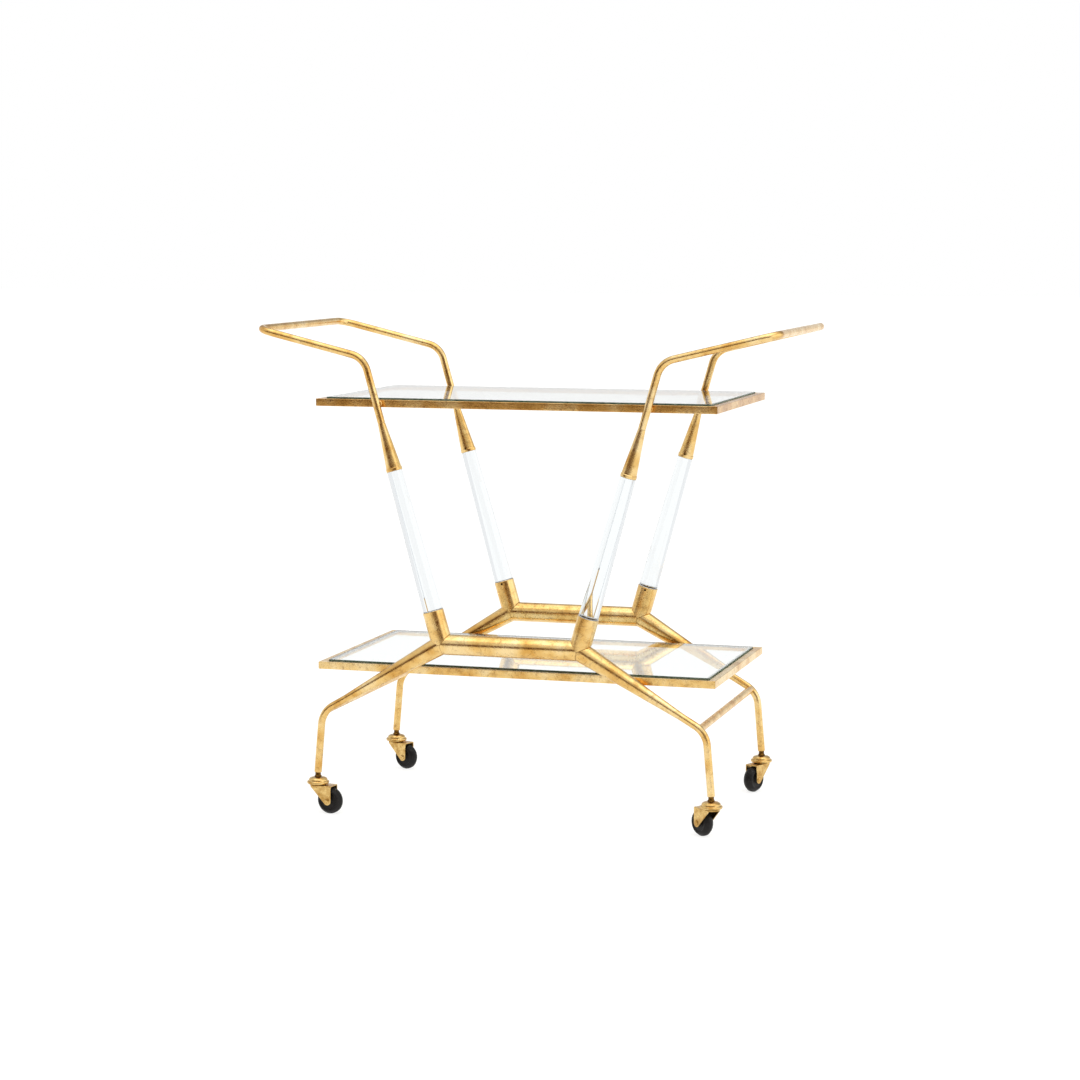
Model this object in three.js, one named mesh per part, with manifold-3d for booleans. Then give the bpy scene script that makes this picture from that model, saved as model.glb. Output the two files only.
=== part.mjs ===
// Bar cart on castors: gilt steel side frames with clear acrylic struts, two glass shelves
// and a bent-rod push handle at each end.
//
// Millimetres, +Z up. X runs along the cart, -Y is its front, and the origin is on the floor
// under the middle of the cart.
import * as THREE from 'three';
import { mergeVertices } from 'three/addons/utils/BufferGeometryUtils.js';
import Module from 'manifold-3d';

// ---------------------------------------------------------------- driving dimensions
const GAP = 0.3;                      // play left between two pieces that touch

const SIDE_Y = 200;                   // centre plane of each side frame
const ROD_R = 6.35;                   // bent round rod: handles, lower legs, stretchers

const KNEE = { x: 120.3, z: 303.7 };  // where base bar, leg and strut meet
const HANDLE_BEND = { x: 258.1, z: 786.2 };   // corner of the strut line and the handle arm
const HANDLE_END = { x: 450, z: 832.4 };      // corner of the arm and the crossbar
const LEG_BEND = { x: 338.3, z: 176.6 };      // corner of the sloping and the upright leg
const LEG_END = { x: 347.6, z: 70.6 };        // bottom of the leg, on the castor's axis

const BASE_BAR_R = 17.5;
const KNEE_R = 17;                    // leg radius at the knee, before it tapers
const LEG_TAPER = 202;                // length over which the leg tapers down to the rod
const LEG_BEND_R = 42;
const HANDLE_BEND_R = 38;
const HANDLE_CORNER_R = 28;

const SOCKET_R = 18;
const SOCKET_TOP_Z = 360;
const ACRYLIC_TOP_Z = 596;
const FERRULE_TOP_Z = 676;
const ACRYLIC_FOOT_R = 17;
const ACRYLIC_HEAD_R = 13.2;
const LOWER_TENON = { r: 11, length: 24 };
const UPPER_TENON = { r: 8, length: 20 };
const HANDLE_SPIGOT = { r: 4, length: 15 };
const FERRULE_COLLAR = { r: 13.9, height: 5 };

const TURNED_CHAMFER = 0.8;           // broken edge on the socket's rim and the ferrule's collar
// A set screw's hole: its radius, and its centre below the socket's rim and above the ferrule's foot.
const SCREW_HOLE = { r: 2.1, belowRim: 4.5, aboveFoot: 6.5 };

const SHELF_HALF_LENGTH = 350;
const SHELF_HALF_WIDTH = 187.1;
const UPPER_SHELF_Z = 714.8;          // top face of the upper rails
const LOWER_SHELF_Z = 261.2;
const RAIL = 12.7;                    // square rail section
const LEDGE = { width: 8, thickness: 3 };
const GLASS = { thickness: 6, proud: 2.4, play: 1 };
const SEAT = { width: 6, thickness: 1.2 };
const SPACER_R = 4;                   // pins between the upper rails and the handle uprights

const STRETCHER = { x: 327, z: 181.8 };

const CASTOR_CAP_Z = 50.8;            // underside of the fixed cap
const FORK_TOP_Z = 49.5;
const FORK_SHEET = 1.6;
const FORK_HALF_WIDTH = 12.5;
const FORK_NOSE_R = 15;
const FORK_REAR = 30.7;               // behind the stem axis, along the trail
const FORK_BOSS_R = 7;
const TRAIL = 23.7;                   // stem axis to axle
const PIN_R = 4;
const PLUG_LENGTH = 14;               // of the stem, inside the leg
const AXLE_R = 2.5;
const AXLE_HEAD = { r: 4.4, thickness: 1.5 };
const WHEEL_R = 23.4;
const WHEEL_HALF_WIDTH = 9.25;
const WHEEL_SIDES = 20;
const AXLE_Z = WHEEL_R * Math.cos(Math.PI / WHEEL_SIDES);   // the wheel stands on one flat

// Direction from each castor's stem to its wheel, in degrees from +X.
const CASTORS = [
  { name: 'front_left', x: -1, y: -1, trail: -8 },
  { name: 'front_right', x: 1, y: -1, trail: 140 },
  { name: 'back_left', x: -1, y: 1, trail: -20 },
  { name: 'back_right', x: 1, y: 1, trail: -113 },
];

const TURNED_SIDES = 16;
const ROD_SIDES = 12;

// ---------------------------------------------------------------- derived dimensions
const STRUT_LEAN = Math.atan2(HANDLE_BEND.x - KNEE.x, HANDLE_BEND.z - KNEE.z);

/** Distance along the strut from the knee to a height. */
function alongStrut(z) {
  return (z - KNEE.z) / Math.cos(STRUT_LEAN);
}

/** How far out the strut's axis is at a height. */
function strutX(z) {
  return KNEE.x + (z - KNEE.z) * Math.tan(STRUT_LEAN);
}

const SOCKET_TOP = alongStrut(SOCKET_TOP_Z);
const ACRYLIC_TOP = alongStrut(ACRYLIC_TOP_Z);
const FERRULE_TOP = alongStrut(FERRULE_TOP_Z);
const GLASS_DROP = GLASS.thickness - GLASS.proud;
const LEDGE_DROP = GLASS_DROP + SEAT.thickness + 2 * GAP;
const FORK_UNDER_Z = FORK_TOP_Z - FORK_SHEET;

// ---------------------------------------------------------------- materials
const MATERIALS = {
  giltSteel: { color: 0xc8963c, roughness: 0.34, metalness: 1 },
  acrylic: { color: 0xf3f7f7, roughness: 0.04, metalness: 0 },
  glass: { color: 0xd7ebe4, roughness: 0.03, metalness: 0 },
  clearStrip: { color: 0xe6e8e6, roughness: 0.4, metalness: 0 },
  darkBronze: { color: 0x3d2a14, roughness: 0.42, metalness: 1 },
  castorBrass: { color: 0xcfa148, roughness: 0.28, metalness: 1 },
  wheelRubber: { color: 0x262424, roughness: 0.55, metalness: 0 },
};

/** A named mesh with a material of its own. */
function piece(name, geometry, finish) {
  const material = new THREE.MeshStandardMaterial({ ...MATERIALS[finish], flatShading: true });
  const mesh = new THREE.Mesh(geometry, material);
  mesh.name = name;
  return mesh;
}

// ---------------------------------------------------------------- closed solids
const wasm = await Module();
wasm.setup();

/** Six times the volume that the triangles enclose; negative when they face inwards. */
function enclosedVolume(position, index) {
  const a = new THREE.Vector3();
  const b = new THREE.Vector3();
  const c = new THREE.Vector3();
  let volume = 0;
  for (let i = 0; i < index.length; i += 3) {
    a.fromBufferAttribute(position, index[i]);
    b.fromBufferAttribute(position, index[i + 1]);
    c.fromBufferAttribute(position, index[i + 2]);
    volume += a.dot(b.cross(c));
  }
  return volume;
}

/** Welds a geometry's corners, drops its collapsed triangles and turns its faces outwards. */
function closed(geometry) {
  const bare = new THREE.BufferGeometry();
  bare.setAttribute('position', geometry.getAttribute('position').clone());
  if (geometry.index) bare.setIndex(geometry.index.clone());
  const welded = mergeVertices(bare, 1e-4);
  const source = welded.index.array;
  const index = [];
  for (let i = 0; i < source.length; i += 3) {
    const [a, b, c] = [source[i], source[i + 1], source[i + 2]];
    if (a !== b && b !== c && c !== a) index.push(a, b, c);
  }
  if (enclosedVolume(welded.getAttribute('position'), index) < 0) index.reverse();
  welded.setIndex(index);
  return welded;
}

function toManifold(geometry) {
  const solid = closed(geometry);
  return new wasm.Manifold(new wasm.Mesh({
    numProp: 3,
    vertProperties: new Float32Array(solid.getAttribute('position').array),
    triVerts: new Uint32Array(solid.index.array),
  }));
}

function fromManifold(manifold) {
  const mesh = manifold.getMesh();
  const geometry = new THREE.BufferGeometry();
  geometry.setAttribute('position', new THREE.BufferAttribute(new Float32Array(mesh.vertProperties), 3));
  geometry.setIndex(new THREE.BufferAttribute(new Uint32Array(mesh.triVerts), 1));
  return geometry;
}

/** The body with every tool taken out of it. */
function cut(body, ...tools) {
  return fromManifold(tools.reduce((left, tool) => left.subtract(toManifold(tool)), toManifold(body)));
}

/** The body together with every addition. */
function join(body, ...additions) {
  return fromManifold(additions.reduce((all, part) => all.add(toManifold(part)), toManifold(body)));
}

/** The part of the body inside the tool. */
function keepInside(body, tool) {
  return fromManifold(toManifold(body).intersect(toManifold(tool)));
}

// ---------------------------------------------------------------- basic forms
/** A turned solid about the Z axis from [radius, height] points. */
function turned(profile, sides = TURNED_SIDES) {
  const points = profile.map(([radius, height]) => new THREE.Vector2(radius, height));
  return closed(new THREE.LatheGeometry(points, sides).rotateX(Math.PI / 2));
}

/** A round bar about the Z axis between two heights. */
function bar(radius, low, high, sides = TURNED_SIDES) {
  const geometry = new THREE.CylinderGeometry(radius, radius, high - low, sides);
  return closed(geometry.rotateX(Math.PI / 2).translate(0, 0, (low + high) / 2));
}

/** A round bar along Y between two places. */
function crossBar(radius, from, to, sides = TURNED_SIDES) {
  const geometry = new THREE.CylinderGeometry(radius, radius, to - from, sides);
  return closed(geometry.translate(0, (from + to) / 2, 0));
}

/** A flat outline in the XZ plane, given thickness along Y. */
function plate(shape, from, to, curveSegments = 5) {
  const geometry = new THREE.ExtrudeGeometry(shape, { depth: to - from, bevelEnabled: false, curveSegments });
  return geometry.rotateX(Math.PI / 2).translate(0, to, 0);
}

/** The path of a bent rod: it stops only at the ends of its straights and along its bends. */
class RodPath extends THREE.Curve {
  constructor() {
    super();
    this.stations = [];
  }

  addStation(point, tangent) {
    const last = this.stations.at(-1);
    const distance = last ? last.distance + last.point.distanceTo(point) : 0;
    this.stations.push({ point, tangent, distance });
  }

  /** Goes from corner to corner; each corner is { at, bend, steps }. */
  static through(corners) {
    const path = new RodPath();
    const heading = (i) => corners[i + 1].at.clone().sub(corners[i].at).normalize();
    path.addStation(corners[0].at, heading(0));
    for (let i = 1; i < corners.length - 1; i += 1) path.addCorner(corners[i], heading(i - 1), heading(i));
    path.addStation(corners.at(-1).at, heading(corners.length - 2));
    return path;
  }

  addCorner({ at, bend = 0, steps = 1 }, before, after) {
    if (bend === 0) {
      this.addStation(at, after);
      return;
    }
    const turn = before.angleTo(after);
    const inwards = after.clone().addScaledVector(before, -after.dot(before)).normalize();
    const start = at.clone().addScaledVector(before, -bend * Math.tan(turn / 2));
    for (let k = 0; k <= steps; k += 1) {
      const angle = (turn * k) / steps;
      const point = start.clone()
        .addScaledVector(before, bend * Math.sin(angle))
        .addScaledVector(inwards, bend * (1 - Math.cos(angle)));
      const tangent = before.clone().multiplyScalar(Math.cos(angle))
        .addScaledVector(inwards, Math.sin(angle));
      this.addStation(point, tangent);
    }
  }

  station(t) {
    return this.stations[Math.round(t * (this.stations.length - 1))];
  }

  getPointAt(t, target = new THREE.Vector3()) {
    return target.copy(this.station(t).point);
  }

  getTangentAt(t, target = new THREE.Vector3()) {
    return target.copy(this.station(t).tangent);
  }
}

/** A rod along a path. Its radius is a function of the distance from the path's start. */
function rodAlong(path, radiusAt) {
  const thread = new THREE.Shape().absarc(0, 0, 1, 0, 2 * Math.PI);
  const geometry = closed(new THREE.ExtrudeGeometry(thread, {
    steps: path.stations.length - 1,
    curveSegments: ROD_SIDES / 2,
    extrudePath: path,
  }));
  // Each ring of the unit rod is swelled to the radius of its own station.
  const position = geometry.getAttribute('position');
  const corner = new THREE.Vector3();
  for (let i = 0; i < position.count; i += 1) {
    corner.fromBufferAttribute(position, i);
    const nearest = path.stations.reduce((best, station) => (
      station.point.distanceToSquared(corner) < best.point.distanceToSquared(corner) ? station : best));
    corner.sub(nearest.point).multiplyScalar(radiusAt(nearest.distance)).add(nearest.point);
    position.setXYZ(i, corner.x, corner.y, corner.z);
  }
  return geometry;
}

// ---------------------------------------------------------------- knee joints
// Three tubes meet at each knee, on mitre planes that halve the angles between them.
const BAR_ANGLE = Math.PI;
const STRUT_ANGLE = Math.PI / 2 - STRUT_LEAN;
const LEG_ANGLE = Math.atan2(LEG_BEND.z - KNEE.z, LEG_BEND.x - KNEE.x);
const BAR_TO_STRUT = (BAR_ANGLE + STRUT_ANGLE) / 2;
const STRUT_TO_LEG = (STRUT_ANGLE + LEG_ANGLE) / 2;
const LEG_TO_BAR = (LEG_ANGLE + BAR_ANGLE - 2 * Math.PI) / 2;

/** The wedge of space at the right knee that lies between two mitre planes. */
function kneeWedge(from, to) {
  const reach = 700;
  const halfDepth = 40;
  const middle = (from + to) / 2;
  const inset = GAP / 2 / Math.sin((to - from) / 2);
  const tip = new THREE.Vector2(KNEE.x + inset * Math.cos(middle), KNEE.z + inset * Math.sin(middle));
  const corners = [from, middle, to].map((angle) => (
    tip.clone().add(new THREE.Vector2(Math.cos(angle), Math.sin(angle)).multiplyScalar(reach))));
  return plate(new THREE.Shape([tip, ...corners]), -halfDepth, halfDepth);
}

function atKnee(geometry) {
  return geometry.rotateY(STRUT_LEAN).translate(KNEE.x, 0, KNEE.z);
}

// ---------------------------------------------------------------- side frames
// A side frame is drawn in its own plane, with local +Y towards the middle of the cart.

function baseBar() {
  const overrun = 40;
  const tube = bar(BASE_BAR_R, -KNEE.x - overrun, KNEE.x + overrun).rotateY(Math.PI / 2)
    .translate(0, 0, KNEE.z);
  const wedge = kneeWedge(BAR_TO_STRUT, LEG_TO_BAR + 2 * Math.PI);
  const mirrored = wedge.clone().rotateZ(Math.PI);
  return keepInside(keepInside(tube, wedge), mirrored);
}

/** The leg's centre line, from behind the knee to below its trimmed end. */
function legPath() {
  const overrun = 30;
  const knee = new THREE.Vector3(KNEE.x, 0, KNEE.z);
  const bend = new THREE.Vector3(LEG_BEND.x, 0, LEG_BEND.z);
  const end = new THREE.Vector3(LEG_END.x, 0, LEG_END.z);
  const slope = bend.clone().sub(knee).normalize();
  const drop = end.clone().sub(bend).normalize();
  return RodPath.through([
    { at: knee.clone().addScaledVector(slope, -overrun) },
    { at: knee },
    { at: knee.clone().addScaledVector(slope, LEG_TAPER) },
    { at: bend, bend: LEG_BEND_R, steps: 6 },
    { at: end.clone().addScaledVector(drop, 2) },
  ]);
}

/** The leg's full length of rod, fatter all round by a clearance. */
function legRod(clearance = 0) {
  const path = legPath();
  const knee = path.stations[1].distance;
  return rodAlong(path, (distance) => {
    const down = THREE.MathUtils.clamp((distance - knee) / LEG_TAPER, 0, 1);
    return THREE.MathUtils.lerp(KNEE_R, ROD_R, down) + clearance;
  });
}

function leg() {
  const plugBore = bar(PIN_R + GAP, LEG_END.z - 5, LEG_END.z + PLUG_LENGTH + 1, ROD_SIDES).translate(LEG_END.x, 0, 0);
  const belowEnd = new THREE.BoxGeometry(60, 60, 20).translate(LEG_END.x, 0, LEG_END.z - 10);
  const rod = keepInside(legRod(), kneeWedge(LEG_TO_BAR, STRUT_TO_LEG));
  return cut(rod, belowEnd, plugBore);
}

/** The hole for a set screw through the inner wall of a turned piece. */
function screwHole(height, depth, radius) {
  return crossBar(SCREW_HOLE.r, depth, radius + 1, 8).translate(0, 0, height);
}

function socket() {
  const boreR = LOWER_TENON.r + GAP;
  const boreFloor = SOCKET_TOP - LOWER_TENON.length - 1;
  const blank = turned([
    [0, -30],
    [SOCKET_R, -30],
    [SOCKET_R, SOCKET_TOP - TURNED_CHAMFER],
    [SOCKET_R - TURNED_CHAMFER, SOCKET_TOP],
    [boreR, SOCKET_TOP],
    [boreR, boreFloor],
    [0, boreFloor],
  ]);
  const drilled = cut(blank, screwHole(SOCKET_TOP - SCREW_HOLE.belowRim, LOWER_TENON.r, SOCKET_R));
  return keepInside(atKnee(drilled), kneeWedge(STRUT_TO_LEG, BAR_TO_STRUT));
}

function acrylicRod() {
  const foot = SOCKET_TOP + GAP;
  const head = ACRYLIC_TOP - GAP;
  return atKnee(turned([
    [0, SOCKET_TOP - LOWER_TENON.length],
    [LOWER_TENON.r, SOCKET_TOP - LOWER_TENON.length],
    [LOWER_TENON.r, foot],
    [ACRYLIC_FOOT_R, foot],
    [ACRYLIC_HEAD_R, head],
    [UPPER_TENON.r, head],
    [UPPER_TENON.r, ACRYLIC_TOP + UPPER_TENON.length],
    [0, ACRYLIC_TOP + UPPER_TENON.length],
  ]));
}

function ferrule() {
  const boreR = UPPER_TENON.r + GAP;
  const spigotBoreR = HANDLE_SPIGOT.r + GAP;
  const collar = FERRULE_COLLAR;
  const blank = turned([
    [collar.r - TURNED_CHAMFER, ACRYLIC_TOP],
    [collar.r, ACRYLIC_TOP + TURNED_CHAMFER],
    [collar.r, ACRYLIC_TOP + collar.height],
    [collar.r - TURNED_CHAMFER, ACRYLIC_TOP + collar.height + TURNED_CHAMFER],
    [ROD_R, FERRULE_TOP - GAP],
    [spigotBoreR, FERRULE_TOP - GAP],
    [spigotBoreR, FERRULE_TOP - HANDLE_SPIGOT.length - 1],
    [boreR, ACRYLIC_TOP + UPPER_TENON.length + 1],
    [boreR, ACRYLIC_TOP],
    [collar.r - TURNED_CHAMFER, ACRYLIC_TOP],
  ]);
  const hole = screwHole(ACRYLIC_TOP + SCREW_HOLE.aboveFoot, UPPER_TENON.r, collar.r);
  return atKnee(cut(blank, hole));
}

/** Puts a geometry drawn for the right strut on the left one. */
function mirroredAcross(geometry) {
  return closed(geometry.clone().scale(-1, 1, 1));
}

/** One side frame; local left and right trade places on the frame that is turned round. */
function sideFrame(side, rightName, leftName) {
  const frame = new THREE.Group();
  frame.add(piece(`base_bar_${side}`, baseBar(), 'giltSteel'));
  const strutPieces = [
    ['leg', leg(), 'giltSteel'],
    ['socket', socket(), 'giltSteel'],
    ['acrylic_rod', acrylicRod(), 'acrylic'],
    ['ferrule', ferrule(), 'giltSteel'],
  ];
  for (const [name, geometry, finish] of strutPieces) {
    frame.add(piece(`${name}_${side}_${rightName}`, geometry, finish));
    frame.add(piece(`${name}_${side}_${leftName}`, mirroredAcross(geometry), finish));
  }
  return frame;
}

// ---------------------------------------------------------------- handles and stretchers
/** The push handle at the right end: up one strut line, out, across and back down. */
function handle() {
  const at = (x, y, z) => new THREE.Vector3(x, y, z);
  const start = strutX(FERRULE_TOP_Z);
  const oneSide = (y) => [
    { at: at(start, y, FERRULE_TOP_Z) },
    { at: at(HANDLE_BEND.x, y, HANDLE_BEND.z), bend: HANDLE_BEND_R, steps: 6 },
    { at: at(HANDLE_END.x, y, HANDLE_END.z), bend: HANDLE_CORNER_R, steps: 7 },
  ];
  const path = RodPath.through([...oneSide(-SIDE_Y), ...oneSide(SIDE_Y).reverse()]);
  const spigot = bar(HANDLE_SPIGOT.r, -HANDLE_SPIGOT.length, 1, ROD_SIDES)
    .rotateY(STRUT_LEAN).translate(start, 0, FERRULE_TOP_Z);
  return join(
    rodAlong(path, () => ROD_R),
    spigot.clone().translate(0, -SIDE_Y, 0),
    spigot.clone().translate(0, SIDE_Y, 0),
  );
}

/** The rod across the right end that ties the front and back legs, saddled onto both. */
function stretcher() {
  const rod = crossBar(ROD_R, -SIDE_Y, SIDE_Y, ROD_SIDES).translate(STRETCHER.x, 0, STRETCHER.z);
  const legSpace = legRod(GAP);
  return cut(rod, legSpace.clone().translate(0, -SIDE_Y, 0), legSpace.clone().translate(0, SIDE_Y, 0));
}

// ---------------------------------------------------------------- shelves
/** A mitred rail with its glass ledge: X along its length, local +Y towards the glass. */
function rail(halfLength) {
  const ledgeTop = -LEDGE_DROP;
  const ledgeUnder = ledgeTop - LEDGE.thickness;
  const section = new THREE.Shape([
    [0, 0],
    [0, -RAIL],
    [RAIL, -RAIL],
    [RAIL, ledgeUnder],
    [RAIL + LEDGE.width, ledgeUnder],
    [RAIL + LEDGE.width, ledgeTop],
    [RAIL, ledgeTop],
    [RAIL, 0],
  ].map(([across, up]) => new THREE.Vector2(across, up)));
  const geometry = new THREE.ExtrudeGeometry(section, { depth: 2 * halfLength, bevelEnabled: false });
  const alongX = new THREE.Matrix4().makeBasis(
    new THREE.Vector3(0, 1, 0),
    new THREE.Vector3(0, 0, 1),
    new THREE.Vector3(1, 0, 0),
  );
  geometry.applyMatrix4(alongX).translate(-halfLength, 0, 0);
  const position = geometry.getAttribute('position');
  for (let i = 0; i < position.count; i += 1) {
    const mitred = halfLength - position.getY(i) - GAP / 2;
    position.setX(i, Math.sign(position.getX(i)) * mitred);
  }
  return closed(geometry);
}

function glassPane() {
  const inset = RAIL + GLASS.play;
  return new THREE.BoxGeometry(
    2 * (SHELF_HALF_LENGTH - inset),
    2 * (SHELF_HALF_WIDTH - inset),
    GLASS.thickness,
  ).translate(0, 0, GLASS.proud - GLASS.thickness / 2);
}

/** The thin clear strip that lies on all four ledges and carries the glass. */
function glassSeat() {
  const outer = RAIL + GLASS.play;
  const inner = outer + SEAT.width;
  const rectangle = (inset) => {
    const x = SHELF_HALF_LENGTH - inset;
    const y = SHELF_HALF_WIDTH - inset;
    return [[-x, -y], [x, -y], [x, y], [-x, y]].map((corner) => new THREE.Vector2(...corner));
  };
  const ring = new THREE.Shape(rectangle(outer));
  ring.holes.push(new THREE.Path(rectangle(inner)));
  const geometry = new THREE.ExtrudeGeometry(ring, { depth: SEAT.thickness, bevelEnabled: false });
  return geometry.translate(0, 0, -GLASS_DROP - GAP - SEAT.thickness);
}

/** The upper long rail, with the two welded pins that stand it off the handle uprights. */
function spacedRail() {
  const reach = SIDE_Y - ROD_R - GAP - SHELF_HALF_WIDTH;
  const x = strutX(UPPER_SHELF_Z - RAIL / 2);
  const pin = crossBar(SPACER_R, -reach, 1, 8).translate(0, 0, -RAIL / 2);
  return join(rail(SHELF_HALF_LENGTH), pin.clone().translate(x, 0, 0), pin.clone().translate(-x, 0, 0));
}

function shelf(name, height, longRail) {
  const group = new THREE.Group();
  group.position.z = height;
  const shortRail = rail(SHELF_HALF_WIDTH);
  const rails = [
    ['front', longRail, 0, -SHELF_HALF_WIDTH, 0],
    ['back', longRail, 0, SHELF_HALF_WIDTH, Math.PI],
    ['right', shortRail, SHELF_HALF_LENGTH, 0, Math.PI / 2],
    ['left', shortRail, -SHELF_HALF_LENGTH, 0, -Math.PI / 2],
  ];
  for (const [side, geometry, x, y, turn] of rails) {
    const mesh = piece(`${name}_rail_${side}`, geometry, 'giltSteel');
    mesh.position.set(x, y, 0);
    mesh.rotation.z = turn;
    group.add(mesh);
  }
  group.add(piece(`${name}_glass`, glassPane(), 'glass'));
  group.add(piece(`${name}_glass_seat`, glassSeat(), 'clearStrip'));
  return group;
}

// ---------------------------------------------------------------- castors
// A castor is drawn about its stem axis, with local +X along the trail.

/** Plug, collar and king pin in one turned piece, riveted over below the fork. */
function castorStem() {
  const headTop = FORK_UNDER_Z - GAP;
  return turned([
    [0, headTop - 2.4],
    [5.6, headTop - 2.4],
    [6.6, headTop],
    [PIN_R, headTop],
    [PIN_R, 62.7],
    [6.2, 62.7],
    [4.75, 66.2],
    [4.75, LEG_END.z - GAP],
    [PIN_R, LEG_END.z - GAP],
    [PIN_R, LEG_END.z + PLUG_LENGTH],
    [0, LEG_END.z + PLUG_LENGTH],
  ], ROD_SIDES);
}

/** The fixed two-tier domed cap. */
function castorCap() {
  const boreR = PIN_R + GAP;
  return turned([
    [boreR, CASTOR_CAP_Z],
    [18.6, CASTOR_CAP_Z],
    [20, 52.4],
    [19.4, 55],
    [15, 56.2],
    [14.2, 58.4],
    [8.2, 62.4],
    [boreR, 62.4],
    [boreR, CASTOR_CAP_Z],
  ], 20);
}

/** The flat ball race in the gap between the cap and the fork. */
function castorRace() {
  const low = FORK_TOP_Z + 0.25;
  const high = CASTOR_CAP_Z - 0.25;
  return turned([[9, low], [13, low], [13, high], [9, high], [9, low]], ROD_SIDES);
}

/** The pressed fork: a flat top with a round nose and two cheeks that carry the axle. */
function castorFork() {
  const noseAngle = Math.asin(FORK_HALF_WIDTH / FORK_NOSE_R);
  const noseX = -FORK_NOSE_R * Math.cos(noseAngle);
  const plan = new THREE.Shape();
  plan.moveTo(FORK_REAR, -FORK_HALF_WIDTH);
  plan.lineTo(FORK_REAR, FORK_HALF_WIDTH);
  plan.lineTo(noseX, FORK_HALF_WIDTH);
  plan.absarc(0, 0, FORK_NOSE_R, Math.PI - noseAngle, Math.PI + noseAngle);
  plan.closePath();
  const top = new THREE.ExtrudeGeometry(plan, { depth: FORK_SHEET, bevelEnabled: false, curveSegments: 6 })
    .translate(0, 0, FORK_UNDER_Z);

  // Each cheek's front edge runs straight from the nose to the round boss.
  const shoulder = new THREE.Vector2(noseX, FORK_UNDER_Z - 1.4);
  const boss = new THREE.Vector2(TRAIL, AXLE_Z);
  const reach = boss.clone().sub(shoulder);
  const tangent = reach.angle() - Math.asin(FORK_BOSS_R / reach.length()) - Math.PI / 2;
  const side = new THREE.Shape();
  side.moveTo(noseX, FORK_TOP_Z);
  side.lineTo(shoulder.x, shoulder.y);
  side.absarc(boss.x, boss.y, FORK_BOSS_R, tangent, 2 * Math.PI);
  side.lineTo(FORK_REAR, FORK_TOP_Z);
  side.closePath();
  const cheek = plate(side, FORK_HALF_WIDTH - FORK_SHEET, FORK_HALF_WIDTH);
  const otherCheek = cheek.clone().translate(0, FORK_SHEET - 2 * FORK_HALF_WIDTH, 0);

  const pinHole = bar(PIN_R + GAP, 0, 2 * FORK_TOP_Z, ROD_SIDES);
  const axleHole = crossBar(AXLE_R + GAP, -20, 20, ROD_SIDES).translate(TRAIL, 0, AXLE_Z);
  return cut(join(top, cheek, otherCheek), pinHole, axleHole);
}

/** The riveted axle, along local Y. */
function castorAxle() {
  const inner = FORK_HALF_WIDTH + GAP;
  const outer = inner + AXLE_HEAD.thickness;
  const shaft = crossBar(AXLE_R, -outer, outer, ROD_SIDES);
  const head = crossBar(AXLE_HEAD.r, inner, outer, ROD_SIDES);
  return join(shaft, head, head.clone().rotateZ(Math.PI)).translate(TRAIL, 0, AXLE_Z);
}

/** A solid wheel with a rounded tread, turned so that it stands on a flat. */
function castorWheel() {
  const boreR = AXLE_R + 0.5;
  const half = WHEEL_HALF_WIDTH;
  const profile = [
    [boreR, -half - 0.6],
    [7, -half - 0.6],
    [8, -half],
    [17.5, -half],
    [21, -half + 3],
    [WHEEL_R, -half + 5.5],
    [WHEEL_R, half - 5.5],
    [21, half - 3],
    [17.5, half],
    [8, half],
    [7, half + 0.6],
    [boreR, half + 0.6],
    [boreR, -half - 0.6],
  ].map(([radius, across]) => new THREE.Vector2(radius, across));
  const geometry = new THREE.LatheGeometry(profile, WHEEL_SIDES, Math.PI / WHEEL_SIDES);
  return closed(geometry).translate(TRAIL, 0, AXLE_Z);
}

function castor({ name, x, y, trail }) {
  const group = new THREE.Group();
  group.position.set(x * LEG_END.x, y * SIDE_Y, 0);
  group.add(piece(`castor_${name}_stem`, castorStem(), 'darkBronze'));
  group.add(piece(`castor_${name}_cap`, castorCap(), 'castorBrass'));
  group.add(piece(`castor_${name}_race`, castorRace(), 'darkBronze'));
  const swivel = new THREE.Group();
  swivel.rotation.z = THREE.MathUtils.degToRad(trail);
  swivel.add(piece(`castor_${name}_fork`, castorFork(), 'castorBrass'));
  swivel.add(piece(`castor_${name}_axle`, castorAxle(), 'castorBrass'));
  swivel.add(piece(`castor_${name}_wheel`, castorWheel(), 'wheelRubber'));
  group.add(swivel);
  return group;
}

// ---------------------------------------------------------------- the whole cart
const cart = new THREE.Group();

const frontFrame = sideFrame('front', 'right', 'left');
frontFrame.position.y = -SIDE_Y;
const backFrame = sideFrame('back', 'left', 'right');
backFrame.position.y = SIDE_Y;
backFrame.rotation.z = Math.PI;
cart.add(frontFrame, backFrame);

for (const [name, turn] of [['right', 0], ['left', Math.PI]]) {
  const end = new THREE.Group();
  end.rotation.z = turn;
  end.add(piece(`handle_${name}`, handle(), 'giltSteel'));
  end.add(piece(`stretcher_${name}`, stretcher(), 'giltSteel'));
  cart.add(end);
}

cart.add(shelf('upper', UPPER_SHELF_Z, spacedRail()));
cart.add(shelf('lower', LOWER_SHELF_Z, rail(SHELF_HALF_LENGTH)));
cart.add(...CASTORS.map(castor));

export default cart;
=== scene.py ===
"""A gilt drinks cart on castors.

Two planar side frames with clear acrylic struts carry two glass shelves, and a bent push handle
closes each end. Lengths are in metres in the cart's own frame: X runs along the cart, -Y is its
front, +Z is up and the floor is at Z = 0. MM turns a length in millimetres to metres.
"""

import logging
import math
from collections.abc import Callable, Iterator, Sequence
from dataclasses import dataclass, field
from enum import Enum
from typing import Any

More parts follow.
